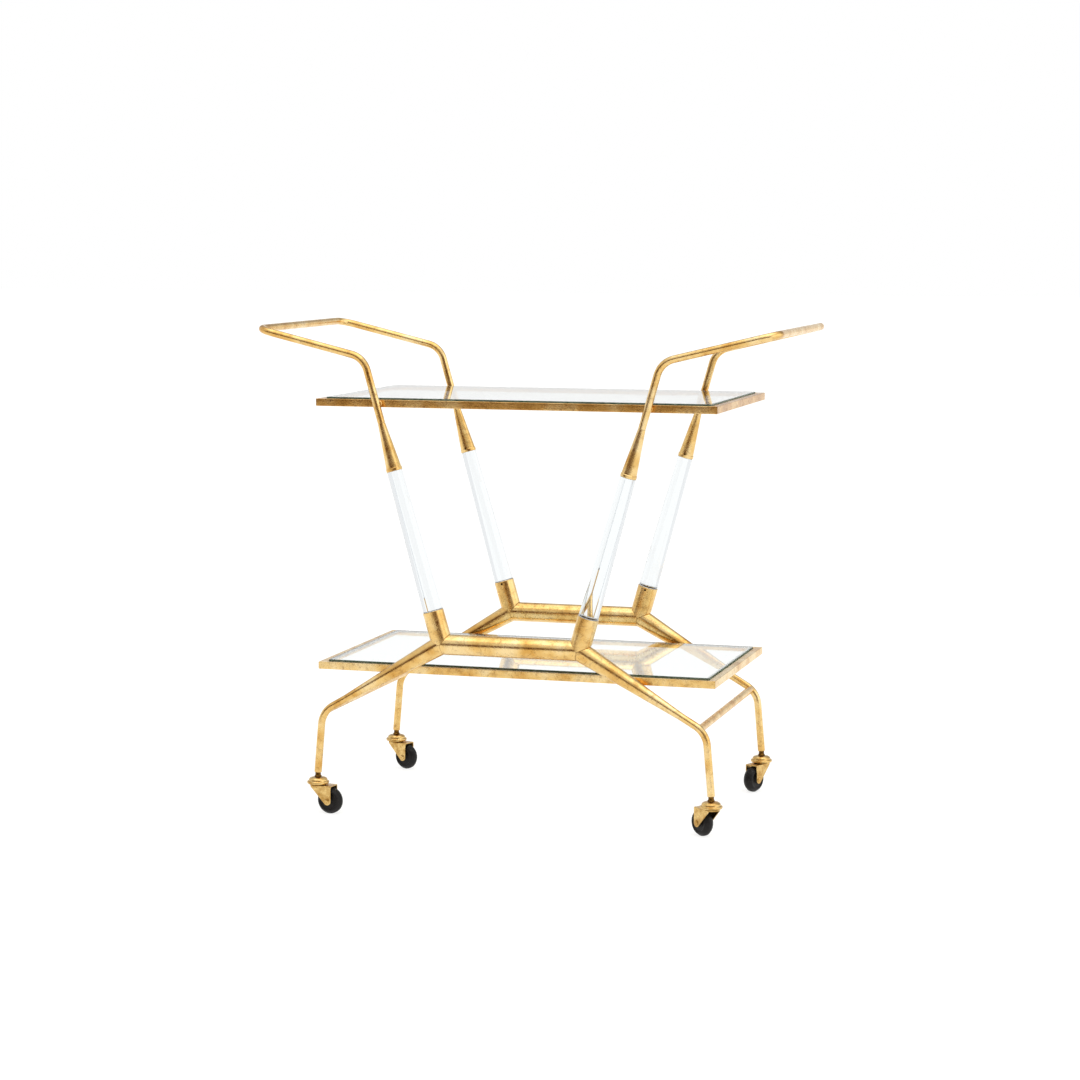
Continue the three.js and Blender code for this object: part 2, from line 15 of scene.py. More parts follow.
import bmesh
import bpy
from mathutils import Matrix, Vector


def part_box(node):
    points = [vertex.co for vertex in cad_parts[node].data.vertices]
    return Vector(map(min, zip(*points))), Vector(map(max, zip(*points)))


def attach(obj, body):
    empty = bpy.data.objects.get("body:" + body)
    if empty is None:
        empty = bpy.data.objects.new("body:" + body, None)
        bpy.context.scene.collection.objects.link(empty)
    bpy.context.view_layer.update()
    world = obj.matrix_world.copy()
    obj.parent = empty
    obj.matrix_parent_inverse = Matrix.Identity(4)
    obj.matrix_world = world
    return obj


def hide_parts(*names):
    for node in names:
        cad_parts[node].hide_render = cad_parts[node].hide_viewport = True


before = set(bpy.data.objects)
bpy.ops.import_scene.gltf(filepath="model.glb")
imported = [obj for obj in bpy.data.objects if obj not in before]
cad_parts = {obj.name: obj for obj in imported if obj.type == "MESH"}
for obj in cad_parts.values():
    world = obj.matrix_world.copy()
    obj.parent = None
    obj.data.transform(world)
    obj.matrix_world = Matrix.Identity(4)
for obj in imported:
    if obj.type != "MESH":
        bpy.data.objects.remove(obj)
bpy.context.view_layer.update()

MM = 0.001
Piece = bpy.types.Object
Tree = bpy.types.NodeTree
Socket = bpy.types.NodeSocket
Settings = dict[str | int, Any]
Links = dict[str | int, Socket]
Pair = tuple[float, float]
log = logging.getLogger("drinks_cart")


# ------------------------------------------------------------------ named choices
class Slot(Enum):
    """The material slots that the finishes belong to."""

    GILT = "gilt_steel"
    ACRYLIC = "acrylic"
    GLASS = "glass"
    STRIP = "clear_strip"
    BRONZE = "dark_bronze"
    BRASS = "castor_brass"
    RUBBER = "wheel_rubber"


class Side(Enum):
    """The cart's two long sides, with the sign of their Y."""

    FRONT = -1
    BACK = 1


class End(Enum):
    """The cart's two ends, with the sign of their X."""

    RIGHT = 1
    LEFT = -1


class Element(Enum):
    """What is picked in edit mode, with its list in a mesh being edited."""

    EDGE = "edges"
    FACE = "faces"


def label(value: Side | End) -> str:
    """The word for a side or an end in a node's name."""
    return value.name.lower()


def corners() -> Iterator[tuple[Side, End, str]]:
    """The cart's four corners, each with its words in a node's name."""
    for side in Side:
        for end in End:
            yield side, end, f"{label(side)}_{label(end)}"


def rings(pairs: Sequence[Pair], above: float = 0.0) -> list[Pair]:
    """Rings of a turned piece from (radius, height) pairs in millimetres above a level."""
    return [(radius * MM, above + height * MM) for radius, height in pairs]


# ------------------------------------------------------------------ colours and nodes
def linear(hex_colour: str) -> tuple[float, float, float, float]:
    """Turns an sRGB hex colour to the linear values that sockets take.

    Args:
        hex_colour: The colour as "#RRGGBB".

    Returns:
        Linear red, green and blue, and an alpha of one.
    """
    channels = [int(hex_colour[i:i + 2], 16) / 255 for i in (1, 3, 5)]
    red, green, blue = (
        c / 12.92 if c <= 0.04045 else ((c + 0.055) / 1.055) ** 2.4 for c in channels
    )
    return red, green, blue, 1.0


def per(millimetres: float) -> float:
    """The texture scale at which a pattern repeats about every so many millimetres."""
    return 1 / (millimetres * MM)


def add(tree: Tree, kind: str, settings: Settings | None = None,
        links: Links | None = None) -> bpy.types.Node:
    """Adds one node, with its settings and the links into it.

    Args:
        tree: The node tree that gets the node.
        kind: The node's type name.
        settings: Values by property name, input name or input number. "stops" fills a colour
            ramp with (place, colour) pairs.
        links: Output sockets by the input name or number that they feed.

    Returns:
        The new node.
    """
    node = tree.nodes.new(kind)
    for key, value in (settings or {}).items():
        if key == "stops":
            elements = node.color_ramp.elements
            while len(elements) < len(value):
                elements.new(0.5)
            for element, (place, colour) in zip(elements, value):
                element.position, element.color = place, linear(colour)
        elif isinstance(key, int) or key in node.inputs:
            node.inputs[key].default_value = value
        else:
            setattr(node, key, value)
    for key, source in (links or {}).items():
        tree.links.new(source, node.inputs[key])
    return node


# ------------------------------------------------------------------ finishes
@dataclass(frozen=True)
class Finish:
    """What every finish has: a material of its own and the slot that it belongs to."""

    name: str
    slot: Slot

    def material(self) -> bpy.types.Material:
        """The finish's material, made the first time that it is asked for."""
        known = bpy.data.materials.get(self.name)
        if known:
            return known
        material = bpy.data.materials.new(self.name)
        material.use_nodes = True
        tree = material.node_tree
        tree.nodes.clear()
        place = add(tree, "ShaderNodeTexCoord").outputs["Object"]
        shader = add(tree, "ShaderNodeBsdfPrincipled", *self.lay(tree, place))
        surface = {"Surface": shader.outputs["BSDF"]}
        add(tree, "ShaderNodeOutputMaterial", links=surface | self.fill(tree))
        return material

    def lay(self, tree: Tree, place: Socket) -> tuple[Settings, Links]:
        """Draws the finish's patterns.

        Args:
            tree: The material's node tree.
            place: Object coordinates, in metres.

        Returns:
            The Principled shader's settings, and the sockets that feed it.
        """
        raise NotImplementedError

    def fill(self, tree: Tree) -> Links:
        """The sockets that feed the output node with what is under the surface, if anything."""
        return {}


@dataclass(frozen=True)
class GiltLeaf(Finish):
    """Steel laid with metal leaf, toned with umber by sponge, rubbed back and lacquered.

    The eye gets a warm, slightly broken gold: clouds of paler and deeper leaf, a fine brown
    mottle where the toning stayed in the leaf's wrinkles, and a few dark specks.
    """

    name: str = "gold_leaf_laid_and_toned"
    slot: Slot = Slot.GILT
    pale: str = "#EED29A"
    leaf: str = "#E6C07A"
    deep: str = "#D2A052"
    umber: str = "#75461A"
    soot: str = "#4A2E12"
    toning: float = 0.42
    speckling: float = 0.4

    def lay(self, tree: Tree, place: Socket) -> tuple[Settings, Links]:
        """Draws the leaf's clouds, blots and specks.

        Args:
            tree: The material's node tree.
            place: Object coordinates, in metres.

        Returns:
            The Principled shader's settings, and the sockets that feed it.
        """
        # Leaf comes in small sheets, so its tone drifts over about 50 mm.
        cloud = add(tree, "ShaderNodeTexNoise",
                    {"Scale": per(48), "Detail": 3.0, "Roughness": 0.55}, {"Vector": place})
        leaf_tone = add(tree, "ShaderNodeValToRGB",
                        {"stops": [(0.36, self.pale), (0.5, self.leaf), (0.66, self.deep)]},
                        {"Fac": cloud.outputs["Fac"]})
        # The sponge leaves toning in blots of 5 to 10 mm.
        blot = add(tree, "ShaderNodeTexNoise",
                   {"Scale": per(9), "Detail": 6.0, "Roughness": 0.68, "Distortion": 0.5},
                   {"Vector": place}).outputs["Fac"]
        blotted = add(tree, "ShaderNodeMapRange",
                      {"interpolation_type": "SMOOTHSTEP", "From Min": 0.5, "From Max": 0.72,
                       "To Max": self.toning}, {"Value": blot})
        toned = add(tree, "ShaderNodeMix", {"data_type": "RGBA", 7: linear(self.umber)},
                    {0: blotted.outputs["Result"], 6: leaf_tone.outputs["Color"]})
        # Wrinkles in the leaf are under a millimetre; they are drawn at 2.5 mm so that they show.
        grain = add(tree, "ShaderNodeTexNoise",
                    {"Scale": per(2.5), "Detail": 4.0, "Roughness": 0.72},
                    {"Vector": place}).outputs["Fac"]
        speck = add(tree, "ShaderNodeMapRange",
                    {"interpolation_type": "SMOOTHSTEP", "From Min": 0.6, "From Max": 0.72,
                     "To Max": self.speckling}, {"Value": grain})
        colour = add(tree, "ShaderNodeMix", {"data_type": "RGBA", 7: linear(self.soot)},
                     {0: speck.outputs["Result"], 6: toned.outputs[2]})
        # Rubbed leaf is glossier than the toning that lies on it.
        gloss = add(tree, "ShaderNodeMapRange",
                    {"From Min": 0.3, "From Max": 0.7, "To Min": 0.16, "To Max": 0.34},
                    {"Value": blot})
        crinkle = add(tree, "ShaderNodeBump", {"Strength": 0.35, "Distance": 0.25 * MM},
                      {"Height": grain})
        relief = add(tree, "ShaderNodeBump", {"Strength": 0.3, "Distance": 0.6 * MM},
                     {"Height": blot, "Normal": crinkle.outputs["Normal"]})
        return ({"Metallic": 1.0, "Coat Weight": 0.12, "Coat Roughness": 0.16},
                {"Base Color": colour.outputs[2], "Roughness": gloss.outputs["Result"],
                 "Normal": relief.outputs["Normal"]})


@dataclass(frozen=True)
class CastAcrylic(Finish):
    """Cast acrylic rod, turned and polished: water-clear, with hair-fine polishing lines."""

    name: str = "cast_acrylic_polished"
    slot: Slot = Slot.ACRYLIC
    tint: str = "#EBEEF0"

    def lay(self, tree: Tree, place: Socket) -> tuple[Settings, Links]:
        """Draws the rod's haze and polishing lines.

        Args:
            tree: The material's node tree.
            place: Object coordinates, in metres.

        Returns:
            The Principled shader's settings, and the sockets that feed it.
        """
        # Handling leaves faint hazy patches a few centimetres long.
        haze = add(tree, "ShaderNodeTexNoise",
                   {"Scale": per(35), "Detail": 4.0, "Roughness": 0.6}, {"Vector": place})
        rough = add(tree, "ShaderNodeMapRange",
                    {"From Min": 0.45, "From Max": 0.8, "To Max": 0.05},
                    {"Value": haze.outputs["Fac"]})
        # Polishing lines run round the rod, a few to the millimetre, and are drawn 4 mm apart.
        stretched = add(tree, "ShaderNodeMapping", {"Scale": (0.15, 0.15, 1.0)}, {"Vector": place})
        lines = add(tree, "ShaderNodeTexNoise",
                    {"Scale": per(4), "Detail": 2.0}, {"Vector": stretched.outputs["Vector"]})
        bump = add(tree, "ShaderNodeBump", {"Strength": 0.05, "Distance": 0.1 * MM},
                   {"Height": lines.outputs["Fac"]})
        return ({"Base Color": linear(self.tint), "Transmission Weight": 1.0, "IOR": 1.49},
                {"Roughness": rough.outputs["Result"], "Normal": bump.outputs["Normal"]})


@dataclass(frozen=True)
class FloatGlass(Finish):
    """Clear float glass, green where the eye looks along it."""

    name: str = "float_glass_polished_edge"
    slot: Slot = Slot.GLASS
    tint: str = "#FBFEFD"
    depth_tint: str = "#9ED2C0"
    absorption: float = 4.0

    def lay(self, tree: Tree, place: Socket) -> tuple[Settings, Links]:
        """Draws the streaks that wiping leaves.

        Args:
            tree: The material's node tree.
            place: Object coordinates, in metres.

        Returns:
            The Principled shader's settings, and the sockets that feed it.
        """
        # Wiping leaves streaks of very slight haze, some 60 mm wide.
        wiped = add(tree, "ShaderNodeTexNoise",
                    {"Scale": per(60), "Detail": 5.0, "Roughness": 0.6, "Distortion": 0.8},
                    {"Vector": place})
        rough = add(tree, "ShaderNodeMapRange",
                    {"From Min": 0.5, "From Max": 0.8, "To Max": 0.04},
                    {"Value": wiped.outputs["Fac"]})
        return ({"Base Color": linear(self.tint), "Transmission Weight": 1.0, "IOR": 1.52},
                {"Roughness": rough.outputs["Result"]})

    def fill(self, tree: Tree) -> Links:
        """The iron in the glass, which gives its depth a green tint."""
        iron = add(tree, "ShaderNodeVolumeAbsorption",
                   {"Color": linear(self.depth_tint), "Density": self.absorption})
        return {"Volume": iron.outputs["Volume"]}


@dataclass(frozen=True)
class GroundEdge(Finish):
    """The edge of float glass, ground and half polished: a soft, deep green line."""

    name: str = "float_glass_ground_edge"
    slot: Slot = Slot.GLASS
    green: str = "#54705F"
    milky: str = "#7C9485"

    def lay(self, tree: Tree, place: Socket) -> tuple[Settings, Links]:
        """Draws the grinding's bite.

        Args:
            tree: The material's node tree.
            place: Object coordinates, in metres.

        Returns:
            The Principled shader's settings, and the sockets that feed it.
        """
        # The wheel's bite changes along the edge, every 10 mm or so.
        bite = add(tree, "ShaderNodeTexNoise",
                   {"Scale": per(10), "Detail": 4.0, "Roughness": 0.6},
                   {"Vector": place}).outputs["Fac"]
        colour = add(tree, "ShaderNodeValToRGB",
                     {"stops": [(0.4, self.green), (0.65, self.milky)]}, {"Fac": bite})
        rough = add(tree, "ShaderNodeMapRange",
                    {"From Min": 0.3, "From Max": 0.7, "To Min": 0.22, "To Max": 0.42},
                    {"Value": bite})
        return ({"Transmission Weight": 0.3, "IOR": 1.52},
                {"Base Color": colour.outputs["Color"], "Roughness": rough.outputs["Result"]})


@dataclass(frozen=True)
class SoftVinyl(Finish):
    """Clear extruded vinyl strip: milky, with a waxy gloss."""

    name: str = "clear_vinyl_extruded"
    slot: Slot = Slot.STRIP
    tint: str = "#FAFCFB"

    def lay(self, tree: Tree, place: Socket) -> tuple[Settings, Links]:
        """Draws the patches where the strip wets the glass.

        Args:
            tree: The material's node tree.
            place: Object coordinates, in metres.

        Returns:
            The Principled shader's settings, and the sockets that feed it.
        """
        # Pressed against the glass, the strip wets it in patches of about 15 mm.
        wetting = add(tree, "ShaderNodeTexNoise", {"Scale": per(15), "Detail": 3.0},
                      {"Vector": place})
        rough = add(tree, "ShaderNodeMapRange",
                    {"From Min": 0.35, "From Max": 0.7, "To Min": 0.2, "To Max": 0.45},
                    {"Value": wetting.outputs["Fac"]})
        return ({"Base Color": linear(self.tint), "Transmission Weight": 0.6, "IOR": 1.53},
                {"Roughness": rough.outputs["Result"]})


@dataclass(frozen=True)
class DarkBronze(Finish):
    """Turned steel with a chemical bronze patina, rubbed bright in places."""

    name: str = "bronze_patina_on_turned_steel"
    slot: Slot = Slot.BRONZE
    patina: str = "#4A3216"
    rubbed: str = "#8F6526"

    def lay(self, tree: Tree, place: Socket) -> tuple[Settings, Links]:
        """Draws the rubbed patina and the tool marks.

        Args:
            tree: The material's node tree.
            place: Object coordinates, in metres.

        Returns:
            The Principled shader's settings, and the sockets that feed it.
        """
        # Handling rubs the patina thin in spots of 3 to 5 mm.
        rub = add(tree, "ShaderNodeTexNoise",
                  {"Scale": per(4), "Detail": 5.0, "Roughness": 0.65},
                  {"Vector": place}).outputs["Fac"]
        colour = add(tree, "ShaderNodeValToRGB",
                     {"stops": [(0.42, self.patina), (0.7, self.rubbed)]}, {"Fac": rub})
        rough = add(tree, "ShaderNodeMapRange",
                    {"From Min": 0.4, "From Max": 0.7, "To Min": 0.5, "To Max": 0.3},
                    {"Value": rub})
        # Tool marks run round the turning, 0.6 mm apart. A wave repeats 20 times to its scale.
        marks = add(tree, "ShaderNodeTexWave",
                    {"wave_type": "BANDS", "bands_direction": "Z", "Scale": per(0.6) / 20,
                     "Distortion": 0.6}, {"Vector": place})
        bump = add(tree, "ShaderNodeBump", {"Strength": 0.15, "Distance": 0.05 * MM},
                   {"Height": marks.outputs["Fac"]})
        return ({"Metallic": 1.0},
                {"Base Color": colour.outputs["Color"], "Roughness": rough.outputs["Result"],
                 "Normal": bump.outputs["Normal"]})


@dataclass(frozen=True)
class AgedBrass(Finish):
    """Pressed and spun brass, brushed, then dulled by age: bright gold with brown freckles."""

    name: str = "brass_pressed_and_aged"
    slot: Slot = Slot.BRASS
    bright: str = "#E2C07C"
    dull: str = "#BC9046"
    freckle: str = "#5C3A16"

    def lay(self, tree: Tree, place: Socket) -> tuple[Settings, Links]:
        """Draws the brass's dulling and freckles.

        Args:
            tree: The material's node tree.
            place: Object coordinates, in metres.

        Returns:
            The Principled shader's settings, and the sockets that feed it.
        """
        # Dulling drifts over about 12 mm.
        age = add(tree, "ShaderNodeTexNoise",
                  {"Scale": per(12), "Detail": 4.0, "Roughness": 0.6},
                  {"Vector": place}).outputs["Fac"]
        body = add(tree, "ShaderNodeValToRGB",
                   {"stops": [(0.38, self.bright), (0.64, self.dull)]}, {"Fac": age})
        # Freckles of 1 to 2 mm, drawn at 2.2 mm so that they show.
        spots = add(tree, "ShaderNodeTexNoise",
                    {"Scale": per(2.2), "Detail": 3.0, "Roughness": 0.6},
                    {"Vector": place}).outputs["Fac"]
        freckled = add(tree, "ShaderNodeMapRange",
                       {"interpolation_type": "SMOOTHSTEP", "From Min": 0.58, "From Max": 0.72,
                        "To Max": 0.5}, {"Value": spots})
        colour = add(tree, "ShaderNodeMix", {"data_type": "RGBA", 7: linear(self.freckle)},
                     {0: freckled.outputs["Result"], 6: body.outputs["Color"]})
        rough = add(tree, "ShaderNodeMapRange",
                    {"From Min": 0.35, "From Max": 0.65, "To Min": 0.2, "To Max": 0.38},
                    {"Value": age})
        bump = add(tree, "ShaderNodeBump", {"Strength": 0.2, "Distance": 0.2 * MM},
                   {"Height": spots})
        return ({"Metallic": 1.0, "Coat Weight": 0.3, "Coat Roughness": 0.2},
                {"Base Color": colour.outputs[2], "Roughness": rough.outputs["Result"],
                 "Normal": bump.outputs["Normal"]})


@dataclass(frozen=True)
class WheelRubber(Finish):
    """Hard black rubber, moulded: a satin skin, greyed by dust where it rolls."""

    name: str = "hard_rubber_moulded"
    slot: Slot = Slot.RUBBER
    black: str = "#100D0C"
    dust: str = "#2B2623"

    def lay(self, tree: Tree, place: Socket) -> tuple[Settings, Links]:
        """Draws the rubber's dust and moulded grain.

        Args:
            tree: The material's node tree.
            place: Object coordinates, in metres.

        Returns:
            The Principled shader's settings, and the sockets that feed it.
        """
        # Dust lies in smears of about 8 mm.
        smear = add(tree, "ShaderNodeTexNoise",
                    {"Scale": per(8), "Detail": 5.0, "Roughness": 0.7},
                    {"Vector": place}).outputs["Fac"]
        colour = add(tree, "ShaderNodeValToRGB",
                     {"stops": [(0.5, self.black), (0.8, self.dust)]}, {"Fac": smear})
        rough = add(tree, "ShaderNodeMapRange",
                    {"From Min": 0.3, "From Max": 0.7, "To Min": 0.34, "To Max": 0.6},
                    {"Value": smear})
        # The mould's grain is about 0.3 mm and is drawn at 1 mm.
        grain = add(tree, "ShaderNodeTexNoise", {"Scale": per(1), "Detail": 2.0},
                    {"Vector": place})
        bump = add(tree, "ShaderNodeBump", {"Strength": 0.15, "Distance": 0.1 * MM},
                   {"Height": grain.outputs["Fac"]})
        return ({"Specular IOR Level": 0.25},
                {"Base Color": colour.outputs["Color"], "Roughness": rough.outputs["Result"],
                 "Normal": bump.outputs["Normal"]})


# ------------------------------------------------------------------ modelling moves
WELD = 0.002 * MM
DEGREES_PER_STEP = 5
FEWEST_BEND_STEPS = 4


@dataclass(frozen=True)
class Corner:
    """A corner of a bent rod's centre line, with the radius of its bend and of the rod there."""

    at: Vector
    bend: float = 0.0
    radius: float | None = None


class Bench:
    """The modelling moves that the pieces share, each one a run of Blender's own operators."""

    @staticmethod
    def clear() -> None:
        """Goes back to object mode with nothing selected."""
        if bpy.context.object and bpy.context.object.mode != "OBJECT":
            bpy.ops.object.mode_set(mode="OBJECT")
        bpy.ops.object.select_all(action="DESELECT")

    @staticmethod
    def take(piece: Piece) -> None:
        """Makes one piece the only selected and the active one."""
        Bench.clear()
        piece.select_set(True)
        bpy.context.view_layer.objects.active = piece

    @staticmethod
    def edit(piece: Piece) -> None:
        """Opens a piece in edit mode with all of it selected."""
        Bench.take(piece)
        bpy.ops.object.mode_set(mode="EDIT")
        bpy.ops.mesh.select_all(action="SELECT")

    @staticmethod
    def begin(name: str) -> Piece:
        """Names a primitive that was just added, puts its place in its mesh and opens it.

        Args:
            name: The piece's name.

        Returns:
            The piece, in edit mode with all of it selected.
        """
        piece = bpy.context.object
        piece.name = piece.data.name = name
        bpy.ops.object.transform_apply(location=True, rotation=True, scale=True)
        Bench.edit(piece)
        return piece

    @staticmethod
    def ring(name: str, radius: float, sides: int, at: Vector, facing: Vector) -> Piece:
        """Starts a piece from an open ring of edges.

        Args:
            name: The piece's name.
            radius: The ring's radius.
            sides: How many edges it has.
            at: Its centre.
            facing: The direction that it faces, along which it will be pulled.

        Returns:
            The piece, in edit mode with the ring selected.
        """
        Bench.clear()
        bpy.ops.mesh.primitive_circle_add(
            vertices=sides, radius=radius, fill_type="NOTHING", location=at,
            rotation=facing.to_track_quat("Z", "Y").to_euler(),
        )
        return Bench.begin(name)

    @staticmethod
    def block(name: str, low: Vector, high: Vector) -> Piece:
        """Starts a piece from a block between two corners.

        Args:
            name: The piece's name.
            low: Its lowest corner.
            high: Its highest corner.

        Returns:
            The piece, in edit mode with all of it selected.
        """
        Bench.clear()
        bpy.ops.mesh.primitive_cube_add(size=1, location=(low + high) / 2, scale=high - low)
        return Bench.begin(name)

    @staticmethod
    def sheet(name: str, low: Vector, high: Vector) -> Piece:
        """Starts a piece from a level rectangle between two corners at one height.

        Args:
            name: The piece's name.
            low: Its lowest corner.
            high: Its highest corner.

        Returns:
            The piece, in edit mode with all of it selected.
        """
        Bench.clear()
        bpy.ops.mesh.primitive_plane_add(size=1, location=(low + high) / 2)
        bpy.context.object.scale = (high.x - low.x, high.y - low.y, 1)
        return Bench.begin(name)

    @staticmethod
    def pull(step: Vector) -> None:
        """Extrudes what is selected by a step."""
        bpy.ops.mesh.extrude_region_move(TRANSFORM_OT_translate={"value": step})

    @staticmethod
    def swell(factor: float | Vector, centre: Vector) -> None:
        """Scales what is selected about a centre, by one factor or one for each axis."""
        value = factor if isinstance(factor, Vector) else Vector((factor, factor, factor))
        bpy.ops.transform.resize(value=value, center_override=centre)

    @staticmethod
    def pick(piece: Piece, kind: Element, wanted: Callable[[Any], bool]) -> None:
        """Selects, in edit mode, only the elements that pass a test.

        Args:
            piece: The piece being edited.
            kind: Whether edges or faces are picked.
            wanted: The test, given an edge or face of the mesh being edited.
        """
        bpy.ops.mesh.select_mode(type=kind.name)
        bpy.ops.mesh.select_all(action="DESELECT")
        shape = bmesh.from_edit_mesh(piece.data)
        shape.normal_update()
        for element in getattr(shape, kind.value):
            if wanted(element):
                element.select_set(True)
        bmesh.update_edit_mesh(piece.data)

    @staticmethod
    def close(piece: Piece) -> None:
        """Welds doubled points, caps the open ends and turns the faces outwards."""
        bpy.ops.mesh.select_mode(type="VERT")
        bpy.ops.mesh.select_all(action="SELECT")
        bpy.ops.mesh.remove_doubles(threshold=WELD)
        bpy.ops.mesh.fill_holes(sides=0)
        bpy.ops.mesh.select_all(action="SELECT")
        bpy.ops.mesh.normals_make_consistent(inside=False)

    @staticmethod
    def trim(point: Vector, outward: Vector) -> None:
        """Saws all of the open piece off beyond a plane and caps the cut.

        Args:
            point: A point on the plane.
            outward: The plane's normal, on the side that falls away.
        """
        bpy.ops.mesh.select_mode(type="FACE")
        bpy.ops.mesh.select_all(action="SELECT")
        bpy.ops.mesh.bisect(plane_co=point, plane_no=outward, clear_outer=True, use_fill=True)

    @staticmethod
    def soften(
        piece: Piece,
        width: float,
        segments: int = 3,
        sharper_than: float = 35.0,
        where: Callable[[Vector], bool] = lambda middle: True,
    ) -> None:
        """Rounds the open piece's sharp edges.

        Args:
            piece: The piece, in edit mode.
            width: How far back the rounding starts.
            segments: Its number of steps.
            sharper_than: The least angle between two faces, in degrees, that counts as sharp.
            where: A test of an edge's middle, for rounding only some of them.
        """
        limit = math.radians(sharper_than)
        Bench.pick(piece, Element.EDGE, lambda e: len(e.link_faces) == 2
                   and e.calc_face_angle(0.0) > limit
                   and where((e.verts[0].co + e.verts[1].co) / 2))
        bpy.ops.mesh.bevel(offset=width, segments=segments, affect="EDGES", clamp_overlap=False)

    @staticmethod
    def polish(piece: Piece, angle: float = 32.0) -> Piece:
        """Ends the editing: shades the piece smooth up to an angle.

        Args:
            piece: The piece.
            angle: The angle between two faces, in degrees, up to which they shade as one.

        Returns:
            The finished piece, in object mode.
        """
        Bench.take(piece)
        bpy.ops.object.shade_smooth_by_angle(angle=math.radians(angle))
        return piece

    @staticmethod
    def keep_flat(piece: Piece) -> None:
        """Weights the shading by area, so that a broad face stays flat up to its rounded edge."""
        Bench.take(piece)
        flat = piece.modifiers.new("flat", "WEIGHTED_NORMAL")
        flat.keep_sharp = True
        bpy.ops.object.modifier_apply(modifier=flat.name)

    @staticmethod
    def set_down(piece: Piece, at: Vector, turned: Sequence[float] = (0, 0, 0)) -> Piece:
        """Turns and moves a piece, and puts its new place in its mesh.

        Args:
            piece: The piece.
            at: Where its origin goes.
            turned: Its turn about X, Y and Z, in radians.

        Returns:
            The same piece.
        """
        Bench.take(piece)
        piece.rotation_euler = turned
        piece.location = at
        bpy.ops.object.transform_apply(location=True, rotation=True, scale=True)
        return piece

    @staticmethod
    def twin(
        piece: Piece,
        name: str,
        flip: Sequence[float] = (1, 1, 1),
        at: Sequence[float] = (0, 0, 0),
        turn: float = 0.0,
    ) -> Piece:
        """Copies a finished piece, with a mesh of its own.

        Args:
            piece: The piece that is copied.
            name: The copy's name.
            flip: One for each axis, or minus one for an axis that is mirrored.
            at: Where the copy's origin goes.
            turn: Its turn about Z, in radians.

        Returns:
            The copy.
        """
        Bench.take(piece)
        bpy.ops.object.duplicate(linked=False)
        copy = bpy.context.object
        copy.name = copy.data.name = name
        copy.scale = flip
        copy.rotation_euler.z = turn
        copy.location = at
        bpy.ops.object.transform_apply(location=True, rotation=True, scale=True)
        if math.prod(flip) < 0:
            Bench.edit(copy)
            bpy.ops.mesh.normals_make_consistent(inside=False)
            Bench.clear()
        return copy

    @staticmethod
    def rod(name: str, corners: Sequence[Corner], radius: float, sides: int) -> Piece:
        """Models a rod along a bent centre line, pulled along it and spun round its bends.

        Args:
            name: The piece's name.
            corners: The centre line's corners; one with a radius swells or narrows the rod there.
            radius: The rod's radius where it starts.
            sides: How many sides it has.

        Returns:
            The closed rod, in edit mode.
        """
        heading = (corners[1].at - corners[0].at).normalized()
        here = corners[0].at.copy()
        piece = Bench.ring(name, radius, sides, here, heading)
        for i, corner in enumerate(corners[1:], start=1):
            last = i == len(corners) - 1
            onward = heading if last else (corners[i + 1].at - corner.at).normalized()
            turn = heading.angle(onward, 0.0)
            stop = corner.at - heading * corner.bend * math.tan(turn / 2)
            Bench.pull(stop - here)
            here = stop
            if corner.radius and not math.isclose(corner.radius, radius):
                Bench.swell(corner.radius / radius, here)
                radius = corner.radius
            if corner.bend:
                inward = (onward - heading * onward.dot(heading)).normalized()
                steps = max(FEWEST_BEND_STEPS, round(math.degrees(turn) / DEGREES_PER_STEP))
                bpy.ops.mesh.spin(steps=steps, angle=turn, center=here + inward * corner.bend,
                                  axis=onward.cross(heading).normalized())
                here = corner.at + onward * corner.bend * math.tan(turn / 2)
            heading = onward
        Bench.close(piece)
        return piece

    @staticmethod
    def turned(name: str, profile: Sequence[Pair], sides: int) -> Piece:
        """Models a turned piece about the Z axis, ring by ring.

        Args:
            name: The piece's name.
            profile: The (radius, height) of each ring. Open ends are capped, and a profile
                that comes back to its first ring leaves a bore.
            sides: How many sides it has.

        Returns:
            The closed piece, in edit mode.
        """
        radius, height = profile[0]
        piece = Bench.ring(name, radius, sides, Vector((0, 0, height)), Vector((0, 0, 1)))
        for next_radius, next_height in profile[1:]:
            factor = next_radius / radius
            Bench.pull(Vector((0, 0, next_height - height)))
            Bench.swell(Vector((factor, factor, 1)), Vector((0, 0, next_height)))
            radius, height = next_radius, next_height
        Bench.close(piece)
        return piece

    @staticmethod
    def cut(piece: Piece, cutter: Piece) -> None:
        """Takes a cutter's shape out of a piece, and throws the cutter away.

        Args:
            piece: The piece that is cut.
            cutter: A closed piece.
        """
        Bench.take(piece)
        knife = piece.modifiers.new("cut", "BOOLEAN")
        knife.operation, knife.solver, knife.object = "DIFFERENCE", "EXACT", cutter
        bpy.ops.object.modifier_apply(modifier=knife.name)
        Bench.discard(cutter)

    @staticmethod
    def drill(piece: Piece, radius: float, start: Vector, end: Vector, sides: int = 32) -> None:
        """Drills a round hole in a piece between two points."""
        bit = Bench.rod("drill_bit", [Corner(start), Corner(end)], radius, sides)
        Bench.clear()
        Bench.cut(piece, bit)

    @staticmethod
    def discard(piece: Piece) -> None:
        """Removes a pattern or cutter with its mesh."""
        Bench.clear()
        mesh = piece.data
        bpy.data.objects.remove(piece)
        bpy.data.meshes.remove(mesh)


